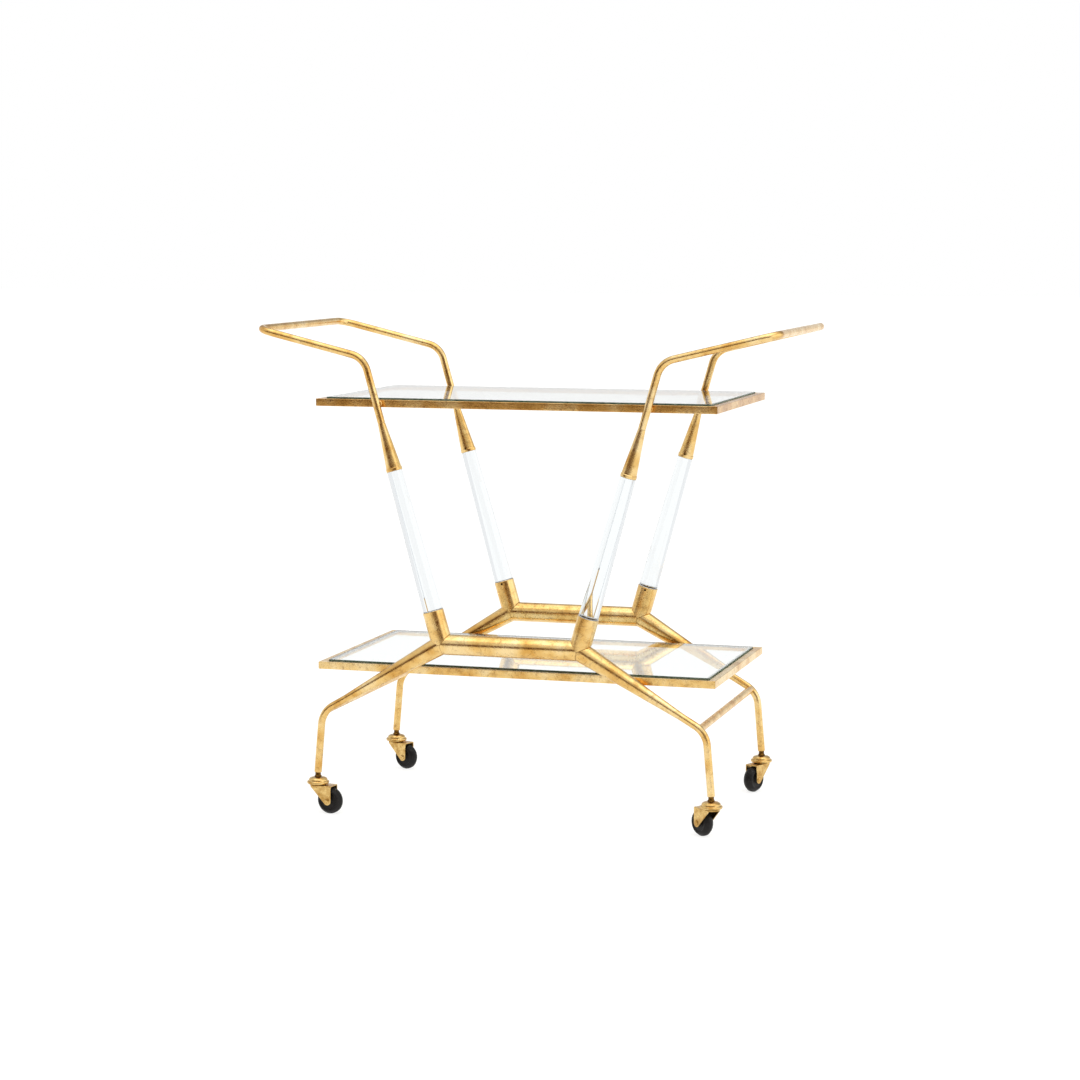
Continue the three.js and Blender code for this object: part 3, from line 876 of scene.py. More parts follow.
def dress(piece: Piece, finish: Finish, body: str, *stands_for: str) -> Piece:
    """Gives a finished piece its material and body, and reports it.

    Args:
        piece: The piece.
        finish: Its finish.
        body: The body that it moves with.
        *stands_for: The CAD nodes that it stands for.

    Returns:
        The same piece.
    """
    Bench.keep_flat(piece)
    piece.data.materials.clear()
    piece.data.materials.append(finish.material())
    if stands_for:
        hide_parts(*stands_for)
    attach(piece, body)
    log.info("%-34s %-30s %5d faces, on %s",
             piece.name, finish.name, len(piece.data.polygons), body)
    return piece


# ------------------------------------------------------------------ the cart's lines
@dataclass(frozen=True)
class CartLines:
    """The centre lines at the cart's right front corner, which its other corners mirror.

    A point is (out from the middle, up from the floor).
    """

    side: float = 200 * MM
    knee: Pair = (120.3 * MM, 303.7 * MM)
    handle_bend: Pair = (258.1 * MM, 786.2 * MM)
    handle_end: Pair = (450 * MM, 832.4 * MM)
    leg_bend: Pair = (338.3 * MM, 176.6 * MM)
    leg_end: Pair = (347.6 * MM, 70.6 * MM)
    rod_radius: float = 6.35 * MM
    gap: float = 0.3 * MM

    @property
    def lean(self) -> float:
        """The struts' lean away from the vertical, in radians."""
        return math.atan2(self.handle_bend[0] - self.knee[0], self.handle_bend[1] - self.knee[1])

    def at(self, point: Pair, side: Side = Side.FRONT) -> Vector:
        """A point of the centre lines in space, on one side of the cart."""
        return Vector((point[0], side.value * self.side, point[1]))

    def along(self, height: float) -> float:
        """The distance up the strut from the knee to a height."""
        return (height - self.knee[1]) / math.cos(self.lean)

    def strut(self, height: float, side: Side = Side.FRONT) -> Vector:
        """The point of the strut's centre line at a height."""
        out = self.knee[0] + (height - self.knee[1]) * math.tan(self.lean)
        return self.at((out, height), side)


LINES = CartLines()
GILT = GiltLeaf()


# ------------------------------------------------------------------ side frames
@dataclass
class SideFrames:
    """Both side frames: base bars, legs, sockets, acrylic rods, ferrules and set screws.

    One strut is modelled at the right front corner and mirrored to the other three. Tenons,
    spigot, collar and bore are (radius, length). A piece is drawn past the knee by an overrun and
    sawn back to its mitres. A leg's edges are rounded above knee_zone and below foot_zone.
    """

    bar_overrun: float = 40 * MM
    overrun: float = 30 * MM
    knee_zone: float = 200 * MM
    foot_zone: float = 72 * MM
    bar_radius: float = 17.5 * MM
    knee_radius: float = 17 * MM
    leg_taper: float = 202 * MM
    leg_bend_radius: float = 42 * MM
    socket_radius: float = 18 * MM
    socket_top: float = 360 * MM
    acrylic_top: float = 596 * MM
    ferrule_top: float = 676 * MM
    acrylic_foot_radius: float = 17 * MM
    acrylic_head_radius: float = 13.2 * MM
    lower_tenon: Pair = (11 * MM, 24 * MM)
    upper_tenon: Pair = (8 * MM, 20 * MM)
    spigot: Pair = (4 * MM, 15 * MM)
    collar: Pair = (13.9 * MM, 5 * MM)
    plug_bore: Pair = (4.3 * MM, 15 * MM)
    screw_hole_radius: float = 2.1 * MM
    screw_below_rim: float = 4.5 * MM
    screw_above_foot: float = 6.5 * MM
    seam: float = 0.45 * MM
    sides: int = 64
    acrylic: Finish = field(default_factory=CastAcrylic)
    bronze: Finish = field(default_factory=DarkBronze)

    def mitres(self) -> dict[str, float]:
        """The directions of the three mitre planes at the right knee, in radians from +X."""
        bar, strut = math.pi, math.pi / 2 - LINES.lean
        leg = math.atan2(LINES.leg_bend[1] - LINES.knee[1], LINES.leg_bend[0] - LINES.knee[0])
        return {
            "bar_strut": (bar + strut) / 2,
            "strut_leg": (strut + leg) / 2,
            "leg_bar": (leg + bar) / 2 - math.pi,
        }

    def trim_to_wedge(self, first: float, last: float, mirrored: bool = False) -> None:
        """Saws the open piece to the wedge between two mitre planes at a knee.

        Args:
            first: The direction of the wedge's first plane, in radians from +X.
            last: The direction of its last plane, further round.
            mirrored: Whether the knee is the left one.
        """
        middle = (first + last) / 2
        inset = LINES.gap / 2 / math.sin((last - first) / 2)
        flip = -1 if mirrored else 1
        tip = Vector((flip * (LINES.knee[0] + inset * math.cos(middle)), 0,
                      LINES.knee[1] + inset * math.sin(middle)))
        Bench.trim(tip, Vector((flip * math.sin(first), 0, -math.cos(first))))
        Bench.trim(tip, Vector((flip * -math.sin(last), 0, math.cos(last))))

    def base_bar(self) -> Piece:
        """The short thick bar between the two front knees."""
        mitre = self.mitres()
        reach = LINES.knee[0] + self.bar_overrun
        start = Vector((-reach, -LINES.side, LINES.knee[1]))
        end = start + Vector((2 * reach, 0, 0))
        bar = Bench.rod("base_bar_pattern", [Corner(start), Corner(end)], self.bar_radius,
                        self.sides)
        for mirrored in (False, True):
            self.trim_to_wedge(mitre["bar_strut"], mitre["leg_bar"] + 2 * math.pi, mirrored)
        Bench.close(bar)
        Bench.soften(bar, self.seam)
        return Bench.polish(bar)

    def leg_rod(self, name: str, clearance: float = 0.0, below: float = 0.0) -> Piece:
        """The leg's whole tapered and bent rod, before it is sawn.

        Args:
            name: The piece's name.
            clearance: How much fatter than the leg it is all round.
            below: How far it runs on below the leg's end.

        Returns:
            The rod, in edit mode.
        """
        knee, bend, end = (LINES.at(p) for p in (LINES.knee, LINES.leg_bend, LINES.leg_end))
        slope = (bend - knee).normalized()
        drop = (end - bend).normalized()
        thick, thin = self.knee_radius + clearance, LINES.rod_radius + clearance
        return Bench.rod(
            name,
            [Corner(knee - slope * self.overrun), Corner(knee),
             Corner(knee + slope * self.leg_taper, radius=thin),
             Corner(bend, bend=self.leg_bend_radius), Corner(end + drop * below)],
            thick, self.sides)

    def leg(self) -> Piece:
        """The right front leg, sawn at the knee and bored for the castor's plug."""
        mitre = self.mitres()
        leg = self.leg_rod("leg_pattern")
        self.trim_to_wedge(mitre["leg_bar"], mitre["strut_leg"])
        Bench.close(leg)
        Bench.soften(leg, self.seam, where=lambda middle: middle.z > self.knee_zone)
        end = LINES.at(LINES.leg_end)
        Bench.pick(leg, Element.FACE, lambda f: (f.calc_center_median() - end).length < 1 * MM)
        radius, depth = self.plug_bore
        bpy.ops.mesh.inset(thickness=LINES.rod_radius - radius)
        drop = (end - LINES.at(LINES.leg_bend)).normalized()
        Bench.pull(-drop * depth)
        Bench.soften(leg, 0.5 * MM, where=lambda middle: middle.z < self.foot_zone)
        return Bench.polish(leg)

    def on_strut(self, piece: Piece) -> Piece:
        """Sets a piece drawn about the Z axis down on the right front knee, along the strut."""
        return Bench.set_down(piece, LINES.at(LINES.knee), (0, LINES.lean, 0))

    def on_strut_point(self, distance: float, towards_middle: float) -> Vector:
        """A point at a distance up the strut and off its centre line towards the cart's middle."""
        up = Vector((math.sin(LINES.lean), 0, math.cos(LINES.lean)))
        return LINES.at(LINES.knee) + up * distance + Vector((0, towards_middle, 0))

    def screw_hole(self, piece: Piece, distance: float, depth: float, surface: float) -> None:
        """Drills a set screw's hole through a wall that faces the cart's middle."""
        Bench.drill(piece, self.screw_hole_radius, self.on_strut_point(distance, depth),
                    self.on_strut_point(distance, surface + 2 * MM), 24)

    def socket(self) -> Piece:
        """The round socket that rises from the knee, bored for the acrylic rod."""
        mitre = self.mitres()
        top = LINES.along(self.socket_top)
        bore = self.lower_tenon[0] + LINES.gap
        floor = top - self.lower_tenon[1] - 1 * MM
        socket = Bench.turned(
            "socket_pattern",
            [(self.socket_radius, -self.overrun), (self.socket_radius, top), (bore, top),
             (bore, floor)],
            self.sides)
        Bench.soften(socket, 0.8 * MM, where=lambda middle: middle.z > top - 1 * MM)
        self.on_strut(socket)
        Bench.edit(socket)
        self.trim_to_wedge(mitre["strut_leg"], mitre["bar_strut"])
        Bench.close(socket)
        Bench.soften(socket, self.seam,
                     where=lambda middle: middle.z < self.socket_top - self.overrun)
        Bench.clear()
        self.screw_hole(socket, top - self.screw_below_rim, self.lower_tenon[0],
                        self.socket_radius)
        return Bench.polish(socket)

    def acrylic_rod(self) -> Piece:
        """The tapered clear rod, with a turned tenon at each end."""
        foot = LINES.along(self.socket_top) + LINES.gap
        head = LINES.along(self.acrylic_top) - LINES.gap
        low, high = self.lower_tenon, self.upper_tenon
        rod = Bench.turned(
            "acrylic_rod_pattern",
            [(low[0], foot - low[1]), (low[0], foot), (self.acrylic_foot_radius, foot),
             (self.acrylic_head_radius, head), (high[0], head), (high[0], head + high[1])],
            self.sides)
        Bench.soften(rod, 0.5 * MM)
        return self.on_strut(Bench.polish(rod))

    def ferrule(self) -> Piece:
        """The cone from the acrylic rod's head down to the handle's rod, bored at both ends."""
        foot, top = LINES.along(self.acrylic_top), LINES.along(self.ferrule_top) - LINES.gap
        bore = self.upper_tenon[0] + LINES.gap
        neck = self.spigot[0] + LINES.gap
        edge = 0.8 * MM
        radius, height = self.collar
        ferrule = Bench.turned(
            "ferrule_pattern",
            [(radius - edge, foot), (radius - 0.2 * edge, foot + 0.2 * edge),
             (radius, foot + edge), (radius, foot + height), (radius - edge, foot + height + edge),
             (LINES.rod_radius, top), (neck, top), (neck, top - self.spigot[1]),
             (bore, foot + self.upper_tenon[1] + 1 * MM), (bore, foot), (radius - edge, foot)],
            self.sides)
        self.on_strut(ferrule)
        self.screw_hole(ferrule, foot + self.screw_above_foot, self.upper_tenon[0], radius)
        return Bench.polish(ferrule)

    def set_screw(self, name: str, distance: float, start: float, end: float) -> Piece:
        """A headless screw with a hexagon socket, lying across the strut.

        Args:
            name: The piece's name.
            distance: How far up the strut it is.
            start: Where it starts off the strut's centre line, towards the cart's middle.
            end: Where it ends.

        Returns:
            The screw.
        """
        radius, edge = self.screw_hole_radius - LINES.gap, 0.3 * MM
        length = end - start
        screw = Bench.turned(name, [(radius - edge, 0), (radius, edge), (radius, length - edge),
                                    (radius - edge, length)], 24)
        Bench.set_down(screw, self.on_strut_point(distance, start), (-math.pi / 2, 0, 0))
        Bench.drill(screw, 0.95 * MM, self.on_strut_point(distance, end - 2 * MM),
                    self.on_strut_point(distance, end + 2 * MM), 6)
        return Bench.polish(screw)

    def build(self) -> None:
        """Models each piece once and mirrors it to every corner of the cart."""
        bar = self.base_bar()
        for side in Side:
            node = f"base_bar_{label(side)}"
            copy = Bench.twin(bar, f"{node}_gilt", (1, -side.value, 1))
            dress(copy, GILT, "frame", node)
        Bench.discard(bar)

        top, foot = LINES.along(self.socket_top), LINES.along(self.acrylic_top)
        strut_pieces = [
            ("leg", "gilt", self.leg(), GILT, True),
            ("socket", "gilt", self.socket(), GILT, True),
            ("acrylic_rod", "clear", self.acrylic_rod(), self.acrylic, True),
            ("ferrule", "gilt", self.ferrule(), GILT, True),
            ("socket_screw", "headless",
             self.set_screw("socket_screw_pattern", top - self.screw_below_rim,
                            self.lower_tenon[0] + LINES.gap, self.socket_radius - 0.8 * MM),
             self.bronze, False),
            ("ferrule_screw", "headless",
             self.set_screw("ferrule_screw_pattern", foot + self.screw_above_foot,
                            self.upper_tenon[0] + LINES.gap, self.collar[0] - 0.9 * MM),
             self.bronze, False),
        ]
        for part, look, pattern, finish, in_cad in strut_pieces:
            for side, end, corner in corners():
                node = f"{part}_{corner}"
                copy = Bench.twin(pattern, f"{node}_{look}", (end.value, -side.value, 1))
                dress(copy, finish, "frame", *([node] if in_cad else []))
            Bench.discard(pattern)


# ------------------------------------------------------------------ ends
@dataclass
class CartEnds:
    """The push handle and the stretcher at each end of the cart."""

    foot_height: float = 676 * MM
    bend_radius: float = 38 * MM
    corner_radius: float = 28 * MM
    spigot: Pair = (4 * MM, 15 * MM)
    stretcher_at: Pair = (327 * MM, 181.8 * MM)
    sides: int = 40

    def handle(self) -> Piece:
        """The right handle: up from the front ferrule, out, across and back down."""
        def half(side: Side) -> list[Corner]:
            """The corners of the rod's centre line on one side of the cart."""
            return [
                Corner(LINES.strut(self.foot_height, side)),
                Corner(LINES.at(LINES.handle_bend, side), bend=self.bend_radius),
                Corner(LINES.at(LINES.handle_end, side), bend=self.corner_radius),
            ]

        handle = Bench.rod("handle_pattern", half(Side.FRONT) + half(Side.BACK)[::-1],
                           LINES.rod_radius, self.sides)
        down = -Vector((math.sin(LINES.lean), 0, math.cos(LINES.lean)))
        radius, length = self.spigot
        for side in Side:
            foot = LINES.strut(self.foot_height, side)
            Bench.pick(handle, Element.FACE,
                       lambda f, foot=foot: (f.calc_center_median() - foot).length < 1 * MM)
            bpy.ops.mesh.inset(thickness=LINES.rod_radius - radius)
            Bench.pull(down * length)
        Bench.soften(handle, 0.4 * MM)
        return Bench.polish(handle)

    def stretcher(self, frames: SideFrames) -> Piece:
        """The rod that ties the right legs, saddled onto both.

        Args:
            frames: The side frames, whose legs shape the saddles.

        Returns:
            The stretcher.
        """
        out, up = self.stretcher_at
        ends = [Corner(Vector((out, side.value * LINES.side, up))) for side in Side]
        rod = Bench.rod("stretcher_pattern", ends, LINES.rod_radius, self.sides)
        Bench.clear()
        front = frames.leg_rod("saddle_cutter", clearance=LINES.gap, below=5 * MM)
        Bench.clear()
        back = Bench.twin(front, "saddle_cutter_back", (1, -1, 1))
        Bench.cut(rod, front)
        Bench.cut(rod, back)
        Bench.edit(rod)
        Bench.soften(rod, 0.4 * MM)
        return Bench.polish(rod)

    def build(self, frames: SideFrames) -> None:
        """Models the right end and mirrors it to the left."""
        for part, pattern in (("handle", self.handle()), ("stretcher", self.stretcher(frames))):
            for end in End:
                node = f"{part}_{label(end)}"
                dress(Bench.twin(pattern, f"{node}_gilt", (end.value, 1, 1)), GILT, "frame", node)
            Bench.discard(pattern)


# ------------------------------------------------------------------ shelves
@dataclass
class Shelf:
    """A mitred frame of square rails with a ledge inside, and the glass that lies in it."""

    name: str
    height: float
    on_spacers: bool
    rail_finish: Finish = GILT
    half_length: float = 350 * MM
    half_width: float = 187.1 * MM
    rail_size: float = 12.7 * MM
    ledge: Pair = (8 * MM, 3 * MM)
    ledge_drop: float = 5.4 * MM
    corner_radius: float = 0.9 * MM
    spacer_radius: float = 4 * MM
    glass: Finish = field(default_factory=FloatGlass)
    glass_edge: Finish = field(default_factory=GroundEdge)
    vinyl: Finish = field(default_factory=SoftVinyl)

    def rail(self, half: float) -> Piece:
        """One rail at the origin: X along it, its outer face at Y = 0 and its top at Z = 0.

        Args:
            half: Half of its length between the frame's outer corners.

        Returns:
            The rail.
        """
        size = self.rail_size
        rail = Bench.block(f"{self.name}_rail_pattern", Vector((-half, 0, -size)),
                           Vector((half, size, 0)))
        width, thickness = self.ledge
        top, under = -self.ledge_drop, -self.ledge_drop - thickness
        for level in (top, under):
            bpy.ops.mesh.select_all(action="SELECT")
            bpy.ops.mesh.bisect(plane_co=(0, 0, level), plane_no=(0, 0, 1))
        Bench.pick(rail, Element.FACE, lambda f: f.normal.y > 0.9
                   and under < f.calc_center_median().z < top)
        Bench.pull(Vector((0, width, 0)))
        for way in (1, -1):
            Bench.trim(Vector((way * (half - LINES.gap / 2), 0, 0)), Vector((way, 1, 0)))
        Bench.close(rail)
        Bench.soften(rail, self.corner_radius, where=lambda middle: middle.y < size + 0.1 * MM
                     and abs(middle.x) < half - 13 * MM)
        Bench.soften(rail, 0.25 * MM, segments=2, sharper_than=50)
        return Bench.polish(rail)

    def spacer(self, name: str) -> Piece:
        """A short pin at the origin, pointing to -Y, with a weld bead at each end."""
        reach = LINES.side - LINES.rod_radius - LINES.gap - self.half_width
        radius = self.spacer_radius
        pin = Bench.turned(name, [(radius * 1.4, 0), (radius * 1.3, 0.5 * MM),
                                  (radius * 1.08, 1.3 * MM), (radius, 2 * MM),
                                  (radius, reach - 1.8 * MM), (radius * 1.08, reach - 1.1 * MM),
                                  (radius * 1.25, reach - 0.4 * MM), (radius * 1.3, reach)], 32)
        Bench.clear()
        return Bench.set_down(Bench.polish(pin), Vector(), (math.pi / 2, 0, 0))

    def pane(self) -> Piece:
        """The glass, with its edges ground to a small round."""
        low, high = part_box(f"{self.name}_glass")
        pane = Bench.block(f"{self.name}_glass_pane", low, high)
        Bench.soften(pane, 2.2 * MM, segments=5,
                     where=lambda middle: abs(middle.z - (low.z + high.z) / 2) < 1 * MM)
        Bench.soften(pane, 0.8 * MM, segments=3)
        return Bench.polish(pane)

    def build(self) -> None:
        """Models the shelf's pieces and sets them at its height."""
        long_rail, short_rail = self.rail(self.half_length), self.rail(self.half_width)
        places = [
            ("front", long_rail, (0, -self.half_width), 0.0),
            ("back", long_rail, (0, self.half_width), math.pi),
            ("right", short_rail, (self.half_length, 0), math.pi / 2),
            ("left", short_rail, (-self.half_length, 0), -math.pi / 2),
        ]
        for side, pattern, (x, y), turn in places:
            node = f"{self.name}_rail_{side}"
            rail = Bench.twin(pattern, f"{node}_gilt", at=(x, y, self.height), turn=turn)
            dress(rail, self.rail_finish, "frame", node)
        Bench.discard(long_rail)
        Bench.discard(short_rail)
        if self.on_spacers:
            self.build_spacers()
        pane = dress(self.pane(), self.glass, "frame", f"{self.name}_glass")
        pane.data.materials.append(self.glass_edge.material())
        for face in pane.data.polygons:
            face.material_index = int(abs(face.normal.z) < 0.5)
        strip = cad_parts[f"{self.name}_glass_seat"]
        strip.data.materials.clear()
        strip.data.materials.append(self.vinyl.material())

    def build_spacers(self) -> None:
        """Sets the four pins between the long rails and the handles' uprights."""
        pattern = self.spacer(f"{self.name}_spacer_pattern")
        middle = self.height - self.rail_size / 2
        for side, end, corner in corners():
            out = end.value * LINES.strut(middle).x
            pin = Bench.twin(pattern, f"{self.name}_spacer_{corner}",
                             at=(out, side.value * self.half_width, middle),
                             turn=math.pi if side is Side.BACK else 0.0)
            dress(pin, self.rail_finish, "frame")
        Bench.discard(pattern)


# ------------------------------------------------------------------ castors
@dataclass
class Castors:
    """Four twin-cheeked swivel castors, modelled once about the stem with the trail along +X.

    Rings are (radius, height) in millimetres: the head's below the fork's top, the collar's and
    the cap's above the floor, the wheel's out from the side of its tread. The rivet is (radius,
    thickness).
    """

    head_rings: Sequence[Pair] = ((3.2, -2.4), (5.4, -2.1), (6.4, -1.2), (6.6, 0))
    collar_rings: Sequence[Pair] = (
        (6.2, 62.9), (6.3, 63.4), (5.6, 64.4), (4.95, 65.6), (4.75, 66.8))
    cap_rings: Sequence[Pair] = (
        (17.2, 50.8), (18.4, 51.2), (19, 52.2), (19.2, 53.4), (18.9, 54.6), (18, 55.4),
        (16.9, 55.8), (16.3, 56.2), (16.2, 57.1), (15.9, 58.4), (14.9, 59.8), (13, 61),
        (10.4, 61.8), (8, 62.2), (6.6, 62.35))
    cap_top: float = 62.4 * MM
    wheel_rings: Sequence[Pair] = (
        (6.4, 0.6), (7, 0.2), (7.4, -1.1), (8.2, -1.5), (14, -1.5), (15, -1.1), (15.6, -0.2),
        (16.4, 0), (17.6, -0.1), (19, -0.9), (20.2, -2.2), (21.1, -4))
    cap_foot: float = 50.8 * MM
    fork_top: float = 49.5 * MM
    sheet: float = 1.6 * MM
    fork_half_width: float = 12.5 * MM
    nose_radius: float = 15 * MM
    fork_rear: float = 30.7 * MM
    boss_radius: float = 7 * MM
    pin_radius: float = 4 * MM
    plug_length: float = 14 * MM
    axle_radius: float = 2.5 * MM
    rivet: Pair = (4.4 * MM, 1.5 * MM)
    wheel_half_width: float = 9.25 * MM
    hub_stands_out: float = 0.6 * MM
    shoulder_drop: float = 3 * MM
    cheek_cuts: int = 14
    nose_angles: Sequence[float] = (64, 72, 80, 86)
    fold_radius: float = 1.4 * MM
    tolerance: float = 0.001 * MM
    brass: Finish = field(default_factory=AgedBrass)
    bronze: Finish = field(default_factory=DarkBronze)
    rubber: Finish = field(default_factory=WheelRubber)

    @staticmethod
    def middle(node: str) -> Vector:
        """The middle of a CAD node's box."""
        low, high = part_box(node)
        return (low + high) / 2

    def trail(self, name: str) -> tuple[float, float]:
        """How far and in which direction one castor's axle lies from its stem.

        Args:
            name: The castor's name.

        Returns:
            The distance, and the direction in radians from +X.
        """
        arm = self.middle(f"castor_{name}_axle") - self.middle(f"castor_{name}_stem")
        return math.hypot(arm.x, arm.y), math.atan2(arm.y, arm.x)

    def stem(self) -> Piece:
        """Plug, flared collar and king pin in one, riveted over below the fork."""
        head = self.fork_top - self.sheet - LINES.gap
        leg_end, pin = LINES.leg_end[1] - LINES.gap, self.pin_radius
        plug_top = LINES.leg_end[1] + self.plug_length
        collar = rings(self.collar_rings)
        stem = Bench.turned(
            "stem_pattern",
            [*rings(self.head_rings, head), (pin, head), (pin, collar[0][1]), *collar,
             (collar[-1][0], leg_end - 0.4 * MM), (4.4 * MM, leg_end), (pin, leg_end),
             (pin, plug_top - 1 * MM), (pin - 1 * MM, plug_top)], 32)
        return Bench.polish(stem)

    def cap(self) -> Piece:
        """The spun two-tier cap: a beaded rim, a step and a dome up to the collar."""
        bore = self.pin_radius + LINES.gap
        foot = self.cap_foot
        profile = [(bore, foot), *rings(self.cap_rings), (bore, self.cap_top), (bore, foot)]
        cap = Bench.turned("cap_pattern", profile, 48)
        return Bench.polish(cap, 40)

    def race(self) -> Piece:
        """The flat ball race in the gap between cap and fork, grooved on its rim."""
        low, high = self.fork_top + 0.25 * MM, self.cap_foot - 0.25 * MM
        middle = (low + high) / 2
        race = Bench.turned(
            "race_pattern",
            [(9 * MM, low), (12.8 * MM, low), (13 * MM, low + 0.15 * MM), (12.6 * MM, middle),
             (13 * MM, high - 0.15 * MM), (12.8 * MM, high), (9 * MM, high), (9 * MM, low)], 48)
        return Bench.polish(race, 50)

    def fork(self) -> Piece:
        """The pressed fork: a top with a round nose, and two cheeks down to the axle's bosses."""
        reach, _ = self.trail("front_right")
        axle = Vector((reach, 0, self.middle("castor_front_right_axle").z))
        wide, top = self.fork_half_width, self.fork_top
        nose = -math.sqrt(self.nose_radius ** 2 - wide ** 2)
        fork = Bench.sheet("fork_pattern", Vector((nose, -wide, top)),
                           Vector((self.fork_rear, wide, top)))
        # Both cheeks come down from the long edges, then their corners are clipped off.
        Bench.pick(fork, Element.EDGE, lambda e: abs(e.verts[0].co.y - e.verts[1].co.y)
                   < self.tolerance)
        Bench.pull(Vector((0, 0, axle.z - self.boss_radius - top)))
        shoulder = Vector((nose, 0, top - self.shoulder_drop))
        arm = axle - shoulder
        start = math.atan2(arm.z, arm.x) - math.asin(self.boss_radius / arm.length) - math.pi / 2
        for i in range(self.cheek_cuts + 1):
            angle = start - start * i / self.cheek_cuts
            outward = Vector((math.cos(angle), 0, math.sin(angle)))
            Bench.pick(fork, Element.FACE, lambda f: abs(f.normal.y) > 0.9)
            bpy.ops.mesh.bisect(plane_co=axle + outward * self.boss_radius, plane_no=outward,
                                clear_outer=True)
        # The round nose is drawn forward in steps.
        front, half = nose, wide
        for angle in self.nose_angles:
            ahead = -self.nose_radius * math.sin(math.radians(angle))
            across = self.nose_radius * math.cos(math.radians(angle))
            Bench.pick(fork, Element.EDGE, lambda e: all(
                max(abs(v.co.x - front), abs(v.co.z - top)) < self.tolerance for v in e.verts))
            Bench.pull(Vector((ahead - front, 0, 0)))
            Bench.swell(Vector((1, across / half, 1)), Vector((ahead, 0, top)))
            front, half = ahead, across
        bpy.ops.mesh.select_all(action="SELECT")
        bpy.ops.mesh.remove_doubles(threshold=0.01 * MM)
        bpy.ops.mesh.normals_make_consistent(inside=False)
        # The sheet's bend over the cheeks is rounded before it gets its thickness.
        Bench.soften(fork, self.fold_radius, segments=4, sharper_than=60)
        bpy.ops.mesh.select_all(action="SELECT")
        bpy.ops.mesh.normals_make_consistent(inside=False)
        Bench.take(fork)
        self.thicken(fork)
        Bench.drill(fork, self.pin_radius + LINES.gap, Vector((0, 0, top - 5 * MM)),
                    Vector((0, 0, top + 5 * MM)))
        Bench.drill(fork, self.axle_radius + LINES.gap, axle - Vector((0, 20 * MM, 0)),
                    axle + Vector((0, 20 * MM, 0)))
        return Bench.polish(fork, 40)

    def thicken(self, sheet: Piece) -> None:
        """Gives a pressed sheet its thickness inwards and breaks its cut edges."""
        wall = sheet.modifiers.new("wall", "SOLIDIFY")
        wall.thickness, wall.offset, wall.use_even_offset = self.sheet, -1, False
        bpy.ops.object.modifier_apply(modifier=wall.name)
        edge = sheet.modifiers.new("edge", "BEVEL")
        edge.width, edge.segments, edge.limit_method = 0.3 * MM, 2, "ANGLE"
        edge.angle_limit = math.radians(50)
        bpy.ops.object.modifier_apply(modifier=edge.name)

    def axle(self) -> Piece:
        """The riveted axle at the origin, along Y, with domed heads."""
        radius, thickness = self.rivet
        inner = self.fork_half_width + LINES.gap
        outer = inner + thickness
        half = [(radius * 0.35, outer), (radius * 0.75, outer - 0.15 * MM),
                (radius * 0.95, outer - 0.6 * MM), (radius, inner + 0.3 * MM), (radius, inner),
                (self.axle_radius, inner)]
        axle = Bench.turned("axle_pattern", [(r, -y) for r, y in half] + half[::-1], 32)
        Bench.polish(axle)
        return Bench.set_down(axle, Vector(), (math.pi / 2, 0, 0))

    def wheel(self, radius: float) -> Piece:
        """The moulded wheel at the origin, its axle along Y: hub, dished web and round tread.

        Args:
            radius: The wheel's radius.

        Returns:
            The wheel.
        """
        half, bore = self.wheel_half_width, self.axle_radius + 0.5 * MM
        hub = half + self.hub_stands_out
        side = [(bore, hub), *rings(self.wheel_rings, half),
                (radius - 0.15 * MM, half - 6.2 * MM), (radius, half - 8.2 * MM)]
        profile = [(r, -y) for r, y in side] + side[::-1] + [(bore, -hub)]
        wheel = Bench.turned("wheel_pattern", profile, 64)
        Bench.polish(wheel, 40)
        return Bench.set_down(wheel, Vector(), (math.pi / 2, 0, 0))

    def build(self) -> None:
        """Models a castor's pieces once and sets a copy of each at every leg."""
        height = self.middle("castor_front_right_axle").z
        patterns = {
            "stem": (self.stem(), self.bronze), "cap": (self.cap(), self.brass),
            "race": (self.race(), self.bronze), "fork": (self.fork(), self.brass),
            "axle": (self.axle(), self.brass), "wheel": (self.wheel(height), self.rubber),
        }
        for _, _, corner in corners():
            self.place(corner, height, patterns)
        for pattern, _ in patterns.values():
            Bench.discard(pattern)

    def place(self, name: str, height: float, patterns: dict[str, tuple[Piece, Finish]]) -> None:
        """Sets one castor's copies in place.

        Args:
            name: The castor's name.
            height: The axle's height.
            patterns: The pattern and finish of each part.
        """
        reach, turn = self.trail(name)
        stem = self.middle(f"castor_{name}_stem")
        hub = (stem.x + reach * math.cos(turn), stem.y + reach * math.sin(turn), height)
        for part, (pattern, finish) in patterns.items():
            at = hub if part in ("axle", "wheel") else (stem.x, stem.y, 0)
            body = {"fork": "swivel", "axle": "swivel", "wheel": "roller"}.get(part)
            node = f"castor_{name}_{part}"
            copy = Bench.twin(pattern, f"{node}_fine", at=at, turn=turn)
            dress(copy, finish, f"castor_{name}_{body}" if body else "frame", node)


# ------------------------------------------------------------------ studio
@dataclass(frozen=True)
class Wall:
    """A wall of light in the room, by the directions in which it is seen from the cart.

    Each range is where the wall starts, where it is full, where it is last full and where it
    ends, along one axis of the direction.
    """

    colour: tuple[float, float, float, float]
    axis: str
    across: tuple[float, float, float, float]
    upright: tuple[float, float, float, float]


